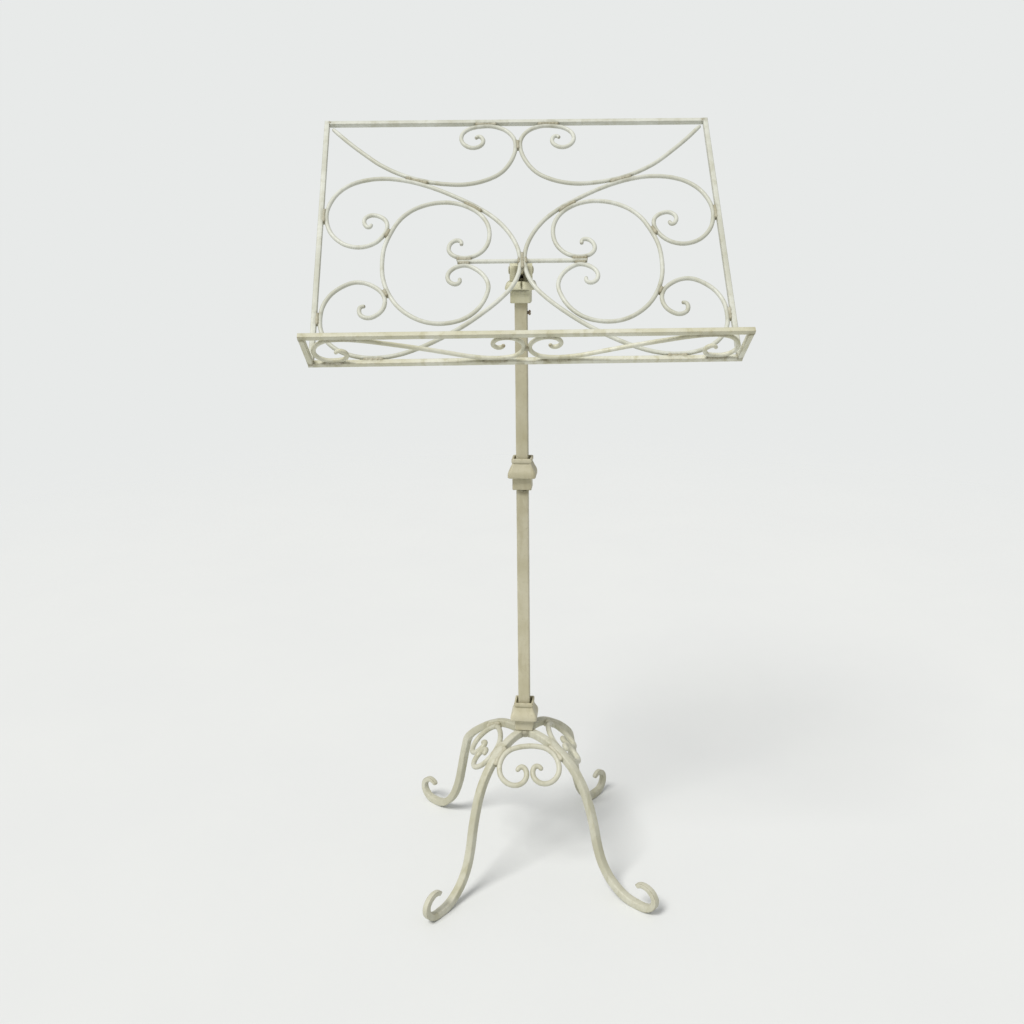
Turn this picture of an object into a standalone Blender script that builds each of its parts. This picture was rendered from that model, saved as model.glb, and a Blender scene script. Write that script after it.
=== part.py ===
# Music stand of painted wrought iron: a tilting desk of scrolled rod on a
# telescopic square post with cast collars and four scrolled legs.
# Metres, +Z up, the reader stands at -Y.  Profiles are given in millimetres.
import math

import bmesh
import bpy
from mathutils import Vector

MM = 0.001
GAP = 0.3            # clearance left where two pieces are welded or seated

# Post and collars
AXIS_Y = 11.5        # post axis, counted from the middle of the footprint
POST_TURN = -7.0     # degrees, the post faces a little away from the desk
POST_SIDE = 15.0
POST_BORE = 11.8
POST_BOTTOM = 197.0
POST_TOP = 771.0
STEM_RADIUS = 5.0
STEM_BOTTOM = 345.0
BASE_COLLAR_Z = 192.0
MID_COLLAR_Z = 527.3
TOP_COLLAR_Z = 759.6
TOP_COLLAR_HEIGHT = 25.6
SCREW_Z = 747.6

# Tilting head
PIVOT_Z = 798.2
PIN_RADIUS = 3.0
YOKE_WIDTH = 27.0
YOKE_RADIUS = 9.0
YOKE_SLOT = 5.2
TONGUE_THICKNESS = 4.4

# Desk, measured in its own plane from the middle of the bottom rail
DESK_TILT = 42.2     # degrees back from upright
DESK_Y = -142.0      # bottom rail, counted from the post axis
DESK_Z = 708.6
DESK_HALF_WIDTH = 235.0
DESK_LENGTH = 355.0
FRAME_BAR = 6.0
SCROLL_ROD = 2.5     # radius
CROSS_ROD_V = 138.0
CROSS_ROD_END = 75.0
LIP_DEPTH = 50.0
LIP_SPLAY = 3.4

# Base
LEG_BAR = 10.0
HUB_RADIUS = 9.3
LEG_START = 9.8
BASE_ROD = 3.5       # radius
BASE_LEAN = 47.0     # degrees from upright, the plane of a base scroll
BASE_SCROLL_HALF = 39.0
BASE_SCROLL_WIDEST = 19.0
BASE_SCROLL_Z = 179.5

# name, azimuth in degrees, distance from the axis to the foot's resting point
LEGS = [
    ("leg_front_right", -44.0, 195.0),
    ("leg_back_right", 51.0, 179.0),
    ("leg_back_left", 135.5, 186.0),
    ("leg_front_left", 230.5, 182.0),
]
# name, azimuths of the legs on either side, clearance; the back of the base has none
BASE_SCROLLS = [
    ("base_scroll_right", -44.0, 51.0, 3.7),
    ("base_scroll_left", 135.5, 230.5, 3.7),
    ("base_scroll_front", 230.5, 316.0, 3.2),
]

# A leg's side view: length of each bend and how far it turns, in degrees,
# from the hub outwards; turning up is positive.
FRONT_LEG_BENDS = [
    (5.0, 0.0), (14.0, -16.0), (28.0, -22.0), (34.0, -22.0), (34.0, -14.0),
    (60.0, -8.0), (32.0, 6.0), (31.0, 16.0), (26.0, 24.0), (21.0, 36.0),
]
# The back legs have a flatter shoulder and a sharper knee.
BACK_LEG_BENDS = [
    (6.0, 0.0), (10.0, -4.0), (26.0, -24.0), (32.0, -10.0), (28.0, -10.0), (16.0, -28.0), (62.0, -2.0),
    (36.0, 12.0), (30.0, 22.0), (25.0, 44.0),
]
FOOT_FLAT = 6.0
FOOT_CURL = [(18.3, 60.0), (27.1, 100.0), (14.7, 80.0)]

# Bend points of the left-hand scrolls; the right-hand ones are mirrored.
CORNER_SCROLL = [
    (-228, 347), (-208, 325), (-185, 302.5), (-166, 286), (-140, 270.3), (-114, 260.6), (-86, 255.4),
    (-64, 255), (-42, 260.5), (-22.5, 272), (-9.5, 290.5), (-3.2, 311), (-4.5, 328), (-14, 341.5),
    (-29, 348.6), (-44, 349), (-59, 345), (-68, 336), (-68.8, 325), (-63.5, 317), (-55.5, 313.6),
    (-47.2, 316), (-42.5, 322.5), (-43.4, 329), (-48, 332.6), (-52, 328.5),
]
MAIN_SCROLL = [
    (-175.5, 195.5), (-176, 191.5), (-179.5, 190.3), (-183.5, 196), (-183.2, 203.3), (-176.5, 208.3),
    (-167, 206.8), (-159, 200.3), (-156.8, 189.7), (-160.8, 178), (-169.5, 167.6), (-179.8, 162.2),
    (-191, 160.8), (-207, 166), (-221.5, 181), (-228.2, 201.5), (-227, 221.5), (-217, 242.5),
    (-201, 256.5), (-180, 263.8), (-157, 265), (-135, 261.2), (-117, 255.4), (-97, 246.6),
    (-72.5, 233), (-48, 217), (-29, 200), (-14.5, 180), (-5.2, 158), (-2.6, 138), (-5.2, 119),
    (-14, 100), (-28, 83), (-47, 65), (-68, 48), (-91, 33), (-116, 19.5), (-141, 10), (-166, 6.4),
    (-187, 9), (-206, 17), (-219, 29), (-226.5, 44), (-228.3, 61), (-226, 77.5), (-218, 93),
    (-206, 103.8), (-193, 109.7), (-180, 108.8), (-167.5, 102), (-159.6, 93.2), (-156.8, 83),
    (-158.8, 72.5), (-165, 64.5), (-174, 60.3), (-182, 62.8), (-185.3, 69.5), (-183, 76.3),
    (-178.3, 76),
]
CIRCLE_SCROLL = [
    (-70.5, 161.5), (-70.2, 167), (-75.5, 169.4), (-81.2, 166.2), (-84.8, 159), (-83.4, 151.3),
    (-77, 145.6), (-66.5, 143.3), (-55.5, 146), (-46.5, 152.6), (-39.8, 163.5), (-37.2, 178),
    (-39.8, 194.6), (-49.7, 210.3), (-66.4, 221.8), (-85, 226.8), (-106, 225), (-126, 216.5), (-141.5, 202),
    (-152.6, 181), (-159.6, 159), (-161.4, 136), (-159.6, 114), (-152.3, 92), (-140, 73), (-122, 58.5),
    (-104, 52), (-85, 52), (-67, 58), (-52.5, 70.5), (-43.4, 86.5), (-39.8, 102.5), (-44, 116),
    (-53.4, 126.6), (-65, 132.5), (-74.5, 130.8), (-81.6, 126.3), (-85.8, 119.5), (-85.5, 112),
    (-80.7, 106.8), (-75, 106.2), (-71.8, 110), (-72.8, 114.5),
]
# The same for the lip, in its own plane, height above the bottom rail second
LIP_SCROLL = [
    (-206, 19), (-203, 23.5), (-197, 22.5), (-194, 16), (-197, 9), (-206, 6.2), (-217, 6.8),
    (-225.5, 12.5), (-228.8, 22), (-226, 32), (-218, 40), (-206, 43.8), (-190, 43.8), (-172, 41),
    (-148, 35.2), (-112, 25.5), (-84, 17), (-60, 9.8), (-42, 6.6), (-25, 6.6), (-11.5, 11),
    (-3.7, 21.5), (-4.6, 33), (-12.5, 41.3), (-23, 43.8), (-32.3, 40.8), (-36.6, 33.5), (-33.2, 26.8),
    (-27, 26.3), (-24.6, 31),
]
# Right half of a base scroll, from its top; the second number runs downhill
BASE_SCROLL = [
    (0, -7), (12.5, -6), (25, -2), (34.5, 7), (39, 19), (38, 31), (31, 40.5), (21, 44.5), (11.5, 42.5),
    (5.2, 35.5), (4.3, 27.5), (8, 21), (14, 22), (16, 27),
]

# A cast collar's section: half width, height above its bottom edge
COLLAR_OUTSIDE = [
    (11.4, 0.0), (12.0, 0.7), (12.0, 15.6), (17.0, 16.0), (17.6, 16.7), (17.6, 19.0), (16.2, 22.5),
    (14.8, 26.3), (13.7, 30.2), (12.8, 33.0), (12.2, 33.8), (12.2, 35.0), (12.8, 35.7), (12.8, 40.0),
    (12.3, 40.5),
]
COLLAR_INSIDE = [(10.5, 40.5), (10.1, 40.1), (10.1, 33.0), (7.8, 33.0), (7.8, 0.0)]
CREAM = (0.62, 0.58, 0.43)


def clear_scene():
    for item in list(bpy.data.objects):
        bpy.data.objects.remove(item, do_unlink=True)
    for group in list(bpy.data.collections):
        bpy.data.collections.remove(group)
    for block in (bpy.data.meshes, bpy.data.materials):
        for item in list(block):
            block.remove(item)


def collection(name):
    group = bpy.data.collections.new(name)
    bpy.context.scene.collection.children.link(group)
    return group


def paint(name, colour=CREAM, metallic=0.0, roughness=0.5):
    material = bpy.data.materials.new(name + "_surface")
    material.use_nodes = True
    shader = material.node_tree.nodes["Principled BSDF"]
    shader.inputs["Base Color"].default_value = (*colour, 1.0)
    shader.inputs["Metallic"].default_value = metallic
    shader.inputs["Roughness"].default_value = roughness
    return material


def solid(name, mesh_data, group, material=None):
    bmesh.ops.recalc_face_normals(mesh_data, faces=mesh_data.faces[:])
    if mesh_data.calc_volume(signed=True) < 0:
        bmesh.ops.reverse_faces(mesh_data, faces=mesh_data.faces[:])
    mesh = bpy.data.meshes.new(name)
    mesh_data.to_mesh(mesh)
    mesh_data.free()
    item = bpy.data.objects.new(name, mesh)
    group.objects.link(item)
    if material:
        mesh.materials.append(material)
    return item


def stack(name, rings, group, material=None, hollow=False):
    # Rings of points joined in order; a hollow stack closes on its first ring.
    data = bmesh.new()
    loops = [[data.verts.new(point) for point in ring] for ring in rings]
    pairs = list(zip(loops, loops[1:]))
    if hollow:
        pairs.append((loops[-1], loops[0]))
    for low, high in pairs:
        count = len(low)
        for i in range(count):
            j = (i + 1) % count
            data.faces.new((low[i], low[j], high[j], high[i]))
    if not hollow:
        data.faces.new(loops[0])
        data.faces.new(loops[-1])
    return solid(name, data, group, material)


# ---------- sections ----------

def round_section(radius, sides):
    step = 2 * math.pi / sides
    return [(radius * math.cos(step * (i + 0.5)), radius * math.sin(step * (i + 0.5)))
            for i in range(sides)]


def square_section(side, chamfer):
    half = side / 2
    inner = half - chamfer
    return [(half, -inner), (half, inner), (inner, half), (-inner, half),
            (-half, inner), (-half, -inner), (-inner, -half), (inner, -half)]


def corner_ring(half, corner, z):
    # A square with rounded corners; a corner radius equal to half makes a circle.
    ring = []
    for quarter in range(4):
        middle = math.radians(45 + 90 * quarter)
        reach = (half - corner) * math.sqrt(2)
        cx = reach * math.cos(middle)
        cy = reach * math.sin(middle)
        for offset in (-33.75, -11.25, 11.25, 33.75):
            angle = middle + math.radians(offset)
            ring.append((cx + corner * math.cos(angle), cy + corner * math.sin(angle), z))
    return ring


# ---------- centre lines ----------

def spline(points, step=2.0):
    # Centripetal curve through the bend points, at an even spacing.
    line = [Vector(point) for point in points]
    line = [2 * line[0] - line[1]] + line + [2 * line[-1] - line[-2]]
    curve = []
    for a, b, c, d in zip(line, line[1:], line[2:], line[3:]):
        t1 = (b - a).length ** 0.5
        t2 = t1 + (c - b).length ** 0.5
        t3 = t2 + (d - c).length ** 0.5
        count = max(2, round((c - b).length / step))
        for i in range(count):
            t = t1 + (t2 - t1) * i / count
            ab = a + (b - a) * (t / t1)
            bc = b + (c - b) * ((t - t1) / (t2 - t1))
            cd = c + (d - c) * ((t - t2) / (t3 - t2))
            left = ab + (bc - ab) * (t / t2)
            right = bc + (cd - bc) * ((t - t1) / (t3 - t1))
            curve.append(left + (right - left) * ((t - t1) / (t2 - t1)))
    curve.append(line[-2])
    return curve


def fair(curve, rounds=16):
    # Smooths out the small bumps without shrinking the curls.
    for _ in range(rounds):
        for weight in (0.5, -0.53):
            moved = [a + ((p + q) / 2 - a) * weight
                     for p, a, q in zip(curve, curve[1:], curve[2:])]
            curve = [curve[0]] + moved + [curve[-1]]
    return curve


def thin(curve, turn=14.0, longest=12.0):
    # Keeps only the points needed to follow the bends.
    kept = [curve[0]]
    turned = 0.0
    length = 0.0
    for before, here, after in zip(curve, curve[1:], curve[2:]):
        length += (here - before).length
        turned += (here - before).angle(after - here, 0.0)
        if math.degrees(turned) >= turn or length >= longest:
            kept.append(here)
            turned = 0.0
            length = 0.0
    if (curve[-1] - kept[-1]).length < 1.5:
        kept.pop()
    kept.append(curve[-1])
    return kept


def arcs(start, bends, heading=0.0, turn_step=12.0):
    # Follows a list of bends from a start point; every bend is a circular arc.
    points = [Vector(start)]
    for length, turn in bends:
        count = max(1, math.ceil(abs(turn) / turn_step))
        for _ in range(count):
            half_turn = math.radians(turn / count) / 2
            chord = length / count
            if abs(half_turn) > 1e-9:
                chord *= math.sin(half_turn) / half_turn
            middle = math.radians(heading) + half_turn
            points.append(points[-1] + Vector((math.cos(middle), math.sin(middle))) * chord)
            heading += turn / count
    return points


def tapers(line, start_length, start_scale, end_length, end_scale):
    # Section scale along a rod whose ends are drawn out to a thinner tip.
    total = [0.0]
    for a, b in zip(line, line[1:]):
        total.append(total[-1] + (b - a).length)
    scales = []
    for run in total:
        scale = 1.0
        if start_length and run < start_length:
            scale = start_scale + (1 - start_scale) * run / start_length
        left = total[-1] - run
        if end_length and left < end_length:
            scale = min(scale, end_scale + (1 - end_scale) * left / end_length)
        scales.append(scale)
    return scales


def sweep(name, line, across, section, scales, group, material):
    # A bar along a line that lies in one plane; across is that plane's normal.
    rings = []
    last = len(line) - 1
    for i, centre in enumerate(line):
        inward = (centre - line[max(i - 1, 0)]).normalized()
        onward = (line[min(i + 1, last)] - centre).normalized()
        if i == 0:
            inward = onward
        if i == last:
            onward = inward
        along = (inward + onward).normalized()
        mitre = 1 / max(0.5, along.dot(onward))
        side = across.cross(along) * mitre
        rings.append([centre + side * (a * scales[i]) + across * (b * scales[i]) for a, b in section])
    return stack(name, rings, group, material)


def turned(name, profile, centre, axis, sides, group, material=None):
    # A lathe-turned solid: (distance along the axis, radius) pairs from end to end.
    axis = Vector(axis).normalized()
    helper = Vector((0, 0, 1)) if abs(axis.z) < 0.5 else Vector((0, 1, 0))
    across = axis.cross(helper).normalized()
    other = axis.cross(across)
    rings = []
    for along, radius in profile:
        ring = []
        for i in range(sides):
            angle = 2 * math.pi * (i + 0.5) / sides
            spoke = across * math.cos(angle) + other * math.sin(angle)
            ring.append((Vector(centre) + axis * along + spoke * radius) * MM)
        rings.append(ring)
    return stack(name, rings, group, material)


# ---------- places ----------

def on_post(x, y, z):
    # A point beside the post, in the post's own turned axes.
    angle = math.radians(POST_TURN)
    return Vector((x * math.cos(angle) - y * math.sin(angle),
                   x * math.sin(angle) + y * math.cos(angle) + AXIS_Y, z)) * MM


def on_desk(u, v, w=0.0):
    # u to the right, v up the slope, w out of the desk towards the reader.
    lean = math.radians(DESK_TILT)
    return Vector((u, AXIS_Y + DESK_Y + v * math.sin(lean) - w * math.cos(lean),
                   DESK_Z + v * math.cos(lean) + w * math.sin(lean))) * MM


def straight_bar(name, start, end, across, side, group):
    middle = (start + end) / 2
    line = [start, middle, end]
    section = [(a * MM, b * MM) for a, b in square_section(side, 0.5)]
    return sweep(name, line, across, section, [1.0, 1.0, 1.0], group, paint(name))


def cut(item, cutters, name, cutter):
    for group in list(cutter.users_collection):
        group.objects.unlink(cutter)
    cutters.objects.link(cutter)
    cutter.name = name
    cutter.display_type = "WIRE"
    cutter.hide_render = True
    modifier = item.modifiers.new(name, "BOOLEAN")
    modifier.operation = "DIFFERENCE"
    modifier.solver = "EXACT"
    modifier.object = cutter
    return modifier


# ---------- the post ----------

def collar(name, z, outside, inside, group):
    rings = []
    for half, height in outside:
        ring = corner_ring(half, min(1.6, half), z + height)
        rings.append([on_post(*point) for point in ring])
    for half, height, corner in inside:
        ring = corner_ring(half, corner, z + height)
        rings.append([on_post(*point) for point in ring])
    return stack(name, rings, group, paint(name), hollow=True)


def build_post(group, cutters):
    bore = [(half, height, 1.2) for half, height in COLLAR_INSIDE]
    collar("base_collar", BASE_COLLAR_Z, COLLAR_OUTSIDE, bore, group)
    collar("mid_collar", MID_COLLAR_Z, COLLAR_OUTSIDE, bore, group)
    # The top collar has the same lower half, closed above down to the stem.
    height = TOP_COLLAR_HEIGHT
    half = POST_SIDE / 2
    outside = [(11.7, 0.0), (12.3, 0.7), (12.3, 15.6), (17.6, 16.0), (18.2, 16.7), (18.2, 19.6),
               (17.2, 22.6), (15.6, height)]
    stem_bore = STEM_RADIUS + 0.4
    pocket = POST_TOP - TOP_COLLAR_Z + GAP
    inside = [(stem_bore, height, stem_bore), (stem_bore, pocket + 1.2, stem_bore),
              (half + GAP, pocket, 1.2), (half + GAP, 0.0, 1.2)]
    collar("top_collar", TOP_COLLAR_Z, outside, inside, group)

    bore_half = POST_BORE / 2
    rings = []
    for side, corner, z in ((half, 1.4, POST_BOTTOM), (half, 1.4, POST_TOP),
                            (bore_half, 0.8, POST_TOP), (bore_half, 0.8, POST_BOTTOM)):
        rings.append([on_post(*point) for point in corner_ring(side, corner, z)])
    post = stack("post_tube", rings, group, paint("post_tube"), hollow=True)
    turn = math.radians(POST_TURN)
    across = (math.cos(turn), math.sin(turn), 0.0)
    screw_centre = (0.0, AXIS_Y, SCREW_Z)
    drill = turned("screw_hole", [(bore_half - 2.0, 2.3), (half + 3.0, 2.3)],
                   screw_centre, across, 16, cutters)
    cut(post, cutters, "screw_hole", drill)
    # The screw's point bears on the stem; its small head stands off the post.
    head = half + 1.6
    turned("set_screw", [(STEM_RADIUS + GAP, 1.0), (STEM_RADIUS + 1.2, 2.0), (head, 2.0),
                         (head, 2.9), (head + 0.3, 3.2), (head + 2.3, 3.2), (head + 2.7, 2.8)],
           screw_centre, across, 16, group, paint("set_screw", (0.30, 0.24, 0.17), 0.8, 0.55))

    # Guide bush: square outside, round bore, in the mouth of the tube.
    rings = []
    for side, corner, z in ((bore_half - GAP, 0.8, 752.0), (bore_half - GAP, 0.8, POST_TOP - 1.0),
                            (stem_bore, stem_bore, POST_TOP - 1.0), (stem_bore, stem_bore, 752.0)):
        rings.append([on_post(*point) for point in corner_ring(side, corner, z)])
    stack("guide_bush", rings, group, paint("guide_bush", (0.35, 0.33, 0.29), 0.9, 0.45), hollow=True)

    yoke_floor = TOP_COLLAR_Z + TOP_COLLAR_HEIGHT + GAP
    spigot = 2.4
    profile = [(STEM_BOTTOM, STEM_RADIUS - 1.0), (STEM_BOTTOM + 1.0, STEM_RADIUS),
               (yoke_floor - GAP, STEM_RADIUS), (yoke_floor - GAP, spigot), (yoke_floor + 2.8, spigot)]
    turned("stem", profile, (0.0, AXIS_Y, 0.0), (0, 0, 1), 16, group,
           paint("stem", (0.42, 0.40, 0.36), 0.9, 0.4))
    return yoke_floor


# ---------- the tilting head ----------

def plate(name, outline, x_low, x_high, group, material=None):
    # A flat plate standing in the Y-Z plane between two X values.
    rings = []
    for x in (x_low, x_high):
        rings.append([Vector((x, y, z)) * MM for y, z in outline])
    return stack(name, rings, group, material)


def build_head(group, cutters, yoke_floor):
    half = YOKE_WIDTH / 2
    outline = [(AXIS_Y + YOKE_RADIUS, yoke_floor)]
    for i in range(13):
        angle = math.radians(15 * i)
        outline.append((AXIS_Y + YOKE_RADIUS * math.cos(angle), PIVOT_Z + YOKE_RADIUS * math.sin(angle)))
    outline.append((AXIS_Y - YOKE_RADIUS, yoke_floor))
    yoke = plate("head_yoke", outline, -half, half, group, paint("head_yoke"))
    deep = YOKE_RADIUS + 2
    box = [(AXIS_Y - deep, yoke_floor + 3.2), (AXIS_Y + deep, yoke_floor + 3.2),
           (AXIS_Y + deep, PIVOT_Z + 14), (AXIS_Y - deep, PIVOT_Z + 14)]
    slot = plate("yoke_slot", box, -YOKE_SLOT / 2, YOKE_SLOT / 2, cutters)
    cut(yoke, cutters, "yoke_slot", slot)
    pivot = (0.0, AXIS_Y, PIVOT_Z)
    hole = turned("pin_hole", [(-half - 2, PIN_RADIUS + GAP), (half + 2, PIN_RADIUS + GAP)],
                  pivot, (1, 0, 0), 20, cutters)
    cut(yoke, cutters, "pin_hole", hole)
    socket = turned("spigot_hole", [(yoke_floor - 2, 2.7), (yoke_floor + 5, 2.7)],
                    (0.0, AXIS_Y, 0.0), (0, 0, 1), 16, cutters)
    cut(yoke, cutters, "spigot_hole", socket)

    reach = half + GAP
    turned("pivot_pin", [(-reach - 1.6, 2.2), (-reach - 0.9, 4.0), (-reach, 4.8), (-reach, PIN_RADIUS),
                         (reach, PIN_RADIUS), (reach, 4.8), (reach + 0.9, 4.0), (reach + 1.6, 2.2)],
           pivot, (1, 0, 0), 20, group, paint("pivot_pin"))

    # The tongue reaches from the pivot to the back of the desk's middle bends.
    eye = 6.5
    low = on_desk(0, 131.0, -SCROLL_ROD - GAP) / MM
    high = on_desk(0, 153.0, -SCROLL_ROD - GAP) / MM
    outline = [(low.y, low.z), (high.y, high.z)]
    for degrees in range(62, -121, -14):
        angle = math.radians(degrees)
        outline.append((AXIS_Y + eye * math.cos(angle), PIVOT_Z + eye * math.sin(angle)))
    tongue = plate("desk_tongue", outline, -TONGUE_THICKNESS / 2, TONGUE_THICKNESS / 2, group,
                   paint("desk_tongue"))
    eye_hole = turned("tongue_hole", [(-5, PIN_RADIUS + GAP), (5, PIN_RADIUS + GAP)],
                      pivot, (1, 0, 0), 20, cutters)
    cut(tongue, cutters, "tongue_hole", eye_hole)


# ---------- the desk ----------

def desk_scroll(name, bends, place, across, group, mirrored):
    flat = thin(fair(spline(bends)))
    scales = tapers(flat, 10.0, 0.85, 10.0, 0.85)
    sign = -1.0 if mirrored else 1.0
    line = [place(sign * point.x, point.y) for point in flat]
    section = [(a * MM, b * MM) for a, b in round_section(SCROLL_ROD, 8)]
    sweep(name, line, across, section, scales, group, paint(name))


def build_desk(group):
    lean = math.radians(DESK_TILT)
    normal = Vector((0.0, -math.cos(lean), math.sin(lean)))
    slope = Vector((0.0, math.sin(lean), math.cos(lean)))
    half = DESK_HALF_WIDTH
    bar = FRAME_BAR / 2
    end = half - bar - GAP
    straight_bar("desk_bottom_rail", on_desk(-half - bar, 0), on_desk(half + bar, 0), normal,
                 FRAME_BAR, group)
    straight_bar("desk_top_rail", on_desk(-end, DESK_LENGTH), on_desk(end, DESK_LENGTH), normal,
                 FRAME_BAR, group)
    for side, sign in (("left", -1), ("right", 1)):
        straight_bar("desk_" + side + "_rail", on_desk(sign * half, bar + GAP),
                     on_desk(sign * half, DESK_LENGTH + bar), normal, FRAME_BAR, group)
        desk_scroll("corner_scroll_" + side, CORNER_SCROLL, on_desk, normal, group, sign > 0)
        desk_scroll("main_scroll_" + side, MAIN_SCROLL, on_desk, normal, group, sign > 0)
        desk_scroll("circle_scroll_" + side, CIRCLE_SCROLL, on_desk, normal, group, sign > 0)
        inner = 2.7 + SCROLL_ROD + GAP
        line = [on_desk(sign * u, CROSS_ROD_V) for u in (inner, (inner + CROSS_ROD_END) / 2, CROSS_ROD_END)]
        section = [(a * MM, b * MM) for a, b in round_section(SCROLL_ROD, 8)]
        sweep("cross_rod_" + side, line, normal, section, [1.0, 1.0, 1.0], group,
              paint("cross_rod_" + side))

    # The lip stands square to the desk along the bottom rail.
    def on_lip(u, height):
        return on_desk(u, 0.0, height)

    straight_bar("lip_front_rail", on_lip(-half - LIP_SPLAY - bar, LIP_DEPTH),
                 on_lip(half + LIP_SPLAY + bar, LIP_DEPTH), slope, FRAME_BAR, group)
    near = bar + GAP
    far = LIP_DEPTH - bar - GAP
    for side, sign in (("left", -1), ("right", 1)):
        u_near = half + LIP_SPLAY * near / LIP_DEPTH
        u_far = half + LIP_SPLAY * far / LIP_DEPTH
        straight_bar("lip_" + side + "_end", on_lip(sign * u_near, near), on_lip(sign * u_far, far),
                     slope, FRAME_BAR, group)
        desk_scroll("lip_scroll_" + side, LIP_SCROLL, on_lip, slope, group, sign > 0)


# ---------- the base ----------

def build_base(group):
    floor = LEG_BAR / 2
    start = BASE_COLLAR_Z - GAP - LEG_BAR / 2
    section = [(a * MM, b * MM) for a, b in square_section(LEG_BAR, 1.6)]
    for name, azimuth, reach in LEGS:
        bends = BACK_LEG_BENDS if "back" in name else FRONT_LEG_BENDS
        body = arcs((LEG_START, 0.0), bends)
        drop = (start - floor) / -body[-1].y
        body = [Vector((point.x, start + point.y * drop)) for point in body]
        flat_end = body[-1] + Vector((FOOT_FLAT, 0.0))
        side_view = body + arcs(flat_end, FOOT_CURL)
        foot_middle = body[-1].x + FOOT_FLAT / 2
        curl_start = len(body)
        angle = math.radians(azimuth)
        outward = Vector((math.cos(angle), math.sin(angle), 0.0))
        across = Vector((-math.sin(angle), math.cos(angle), 0.0))
        stretch = (reach - LEG_START) / (foot_middle - LEG_START)
        line = []
        scales = []
        for i, point in enumerate(side_view):
            radius = LEG_START + (point.x - LEG_START) * stretch
            line.append((outward * radius + Vector((0.0, AXIS_Y, point.y))) * MM)
            past = max(0, i - curl_start) / (len(side_view) - 1 - curl_start)
            scales.append(1.0 - 0.4 * past)
        sweep(name, line, across, section, scales, group, paint(name))
    top = BASE_COLLAR_Z - GAP
    turned("hub_block", [(top - 11.0, HUB_RADIUS - 1.2), (top - 9.8, HUB_RADIUS), (top, HUB_RADIUS)],
           (0.0, AXIS_Y, 0.0), (0, 0, 1), 24, group, paint("hub_block"))

    half_line = fair(spline([(-u, v) for u, v in reversed(BASE_SCROLL[1:])] + BASE_SCROLL))
    flat = thin(half_line, 15.0, 11.0)
    lean = math.radians(BASE_LEAN)
    for name, first, second, clearance in BASE_SCROLLS:
        middle = math.radians((first + second) / 2)
        spread = math.radians((second - first) / 2)
        clear = LEG_BAR / 2 + BASE_ROD + clearance
        widest = (clear + BASE_SCROLL_HALF * math.cos(spread)) / math.sin(spread)
        rho = widest - BASE_SCROLL_WIDEST * math.sin(lean)
        outward = Vector((math.cos(middle), math.sin(middle), 0.0))
        sideways = Vector((-math.sin(middle), math.cos(middle), 0.0))
        downhill = outward * math.sin(lean) + Vector((0.0, 0.0, -math.cos(lean)))
        origin = outward * rho + Vector((0.0, AXIS_Y, BASE_SCROLL_Z))
        line = [(origin + sideways * point.x + downhill * point.y) * MM for point in flat]
        rod = [(a * MM, b * MM) for a, b in round_section(BASE_ROD, 8)]
        sweep(name, line, sideways.cross(downhill), rod, tapers(flat, 10.0, 0.85, 10.0, 0.85), group,
              paint(name))


clear_scene()
stand = collection("music_stand")
tools = collection("cutters")
floor_of_yoke = build_post(stand, tools)
build_head(stand, tools, floor_of_yoke)
build_desk(stand)
build_base(stand)
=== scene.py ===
import math

import bmesh
import bpy
import numpy as np
from mathutils import Matrix, Vector, kdtree, noise


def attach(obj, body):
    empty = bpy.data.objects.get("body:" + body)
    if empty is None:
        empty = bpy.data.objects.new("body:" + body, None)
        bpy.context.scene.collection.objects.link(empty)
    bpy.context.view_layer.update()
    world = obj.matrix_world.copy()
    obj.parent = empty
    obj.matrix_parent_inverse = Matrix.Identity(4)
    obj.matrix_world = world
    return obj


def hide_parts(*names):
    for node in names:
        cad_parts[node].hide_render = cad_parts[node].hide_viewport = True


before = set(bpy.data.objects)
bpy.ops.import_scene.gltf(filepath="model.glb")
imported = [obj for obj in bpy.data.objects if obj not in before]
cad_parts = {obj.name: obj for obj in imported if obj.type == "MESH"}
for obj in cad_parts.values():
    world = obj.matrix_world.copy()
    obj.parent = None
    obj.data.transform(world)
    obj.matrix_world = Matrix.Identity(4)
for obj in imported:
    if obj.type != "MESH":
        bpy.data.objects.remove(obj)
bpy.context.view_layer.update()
mm = 0.001

# Where the desk and the post stand, in millimetres and degrees
stance = {
    "axisY": 11.5, "postTurn": -7.0,
    "deskTilt": 42.2, "deskY": -142.0, "deskZ": 708.6,
    "deskHalfWidth": 235.0, "deskLength": 355.0, "lipDepth": 50.0, "lipSplay": 3.4,
    "pivotZ": 798.2,
}


def onPost(x, y, z):
    turn = math.radians(stance["postTurn"])
    return Vector((x * math.cos(turn) - y * math.sin(turn),
                   x * math.sin(turn) + y * math.cos(turn) + stance["axisY"], z)) * mm


def onDesk(u, v, w=0.0):
    # u to the right, v up the slope, w out of the desk towards the reader
    lean = math.radians(stance["deskTilt"])
    return Vector((u, stance["axisY"] + stance["deskY"] + v * math.sin(lean) - w * math.cos(lean),
                   stance["deskZ"] + v * math.cos(lean) + w * math.sin(lean))) * mm


def onLip(u, height):
    return onDesk(u, 0.0, height)


# ---- centre lines of bent rod and bar ----

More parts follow.
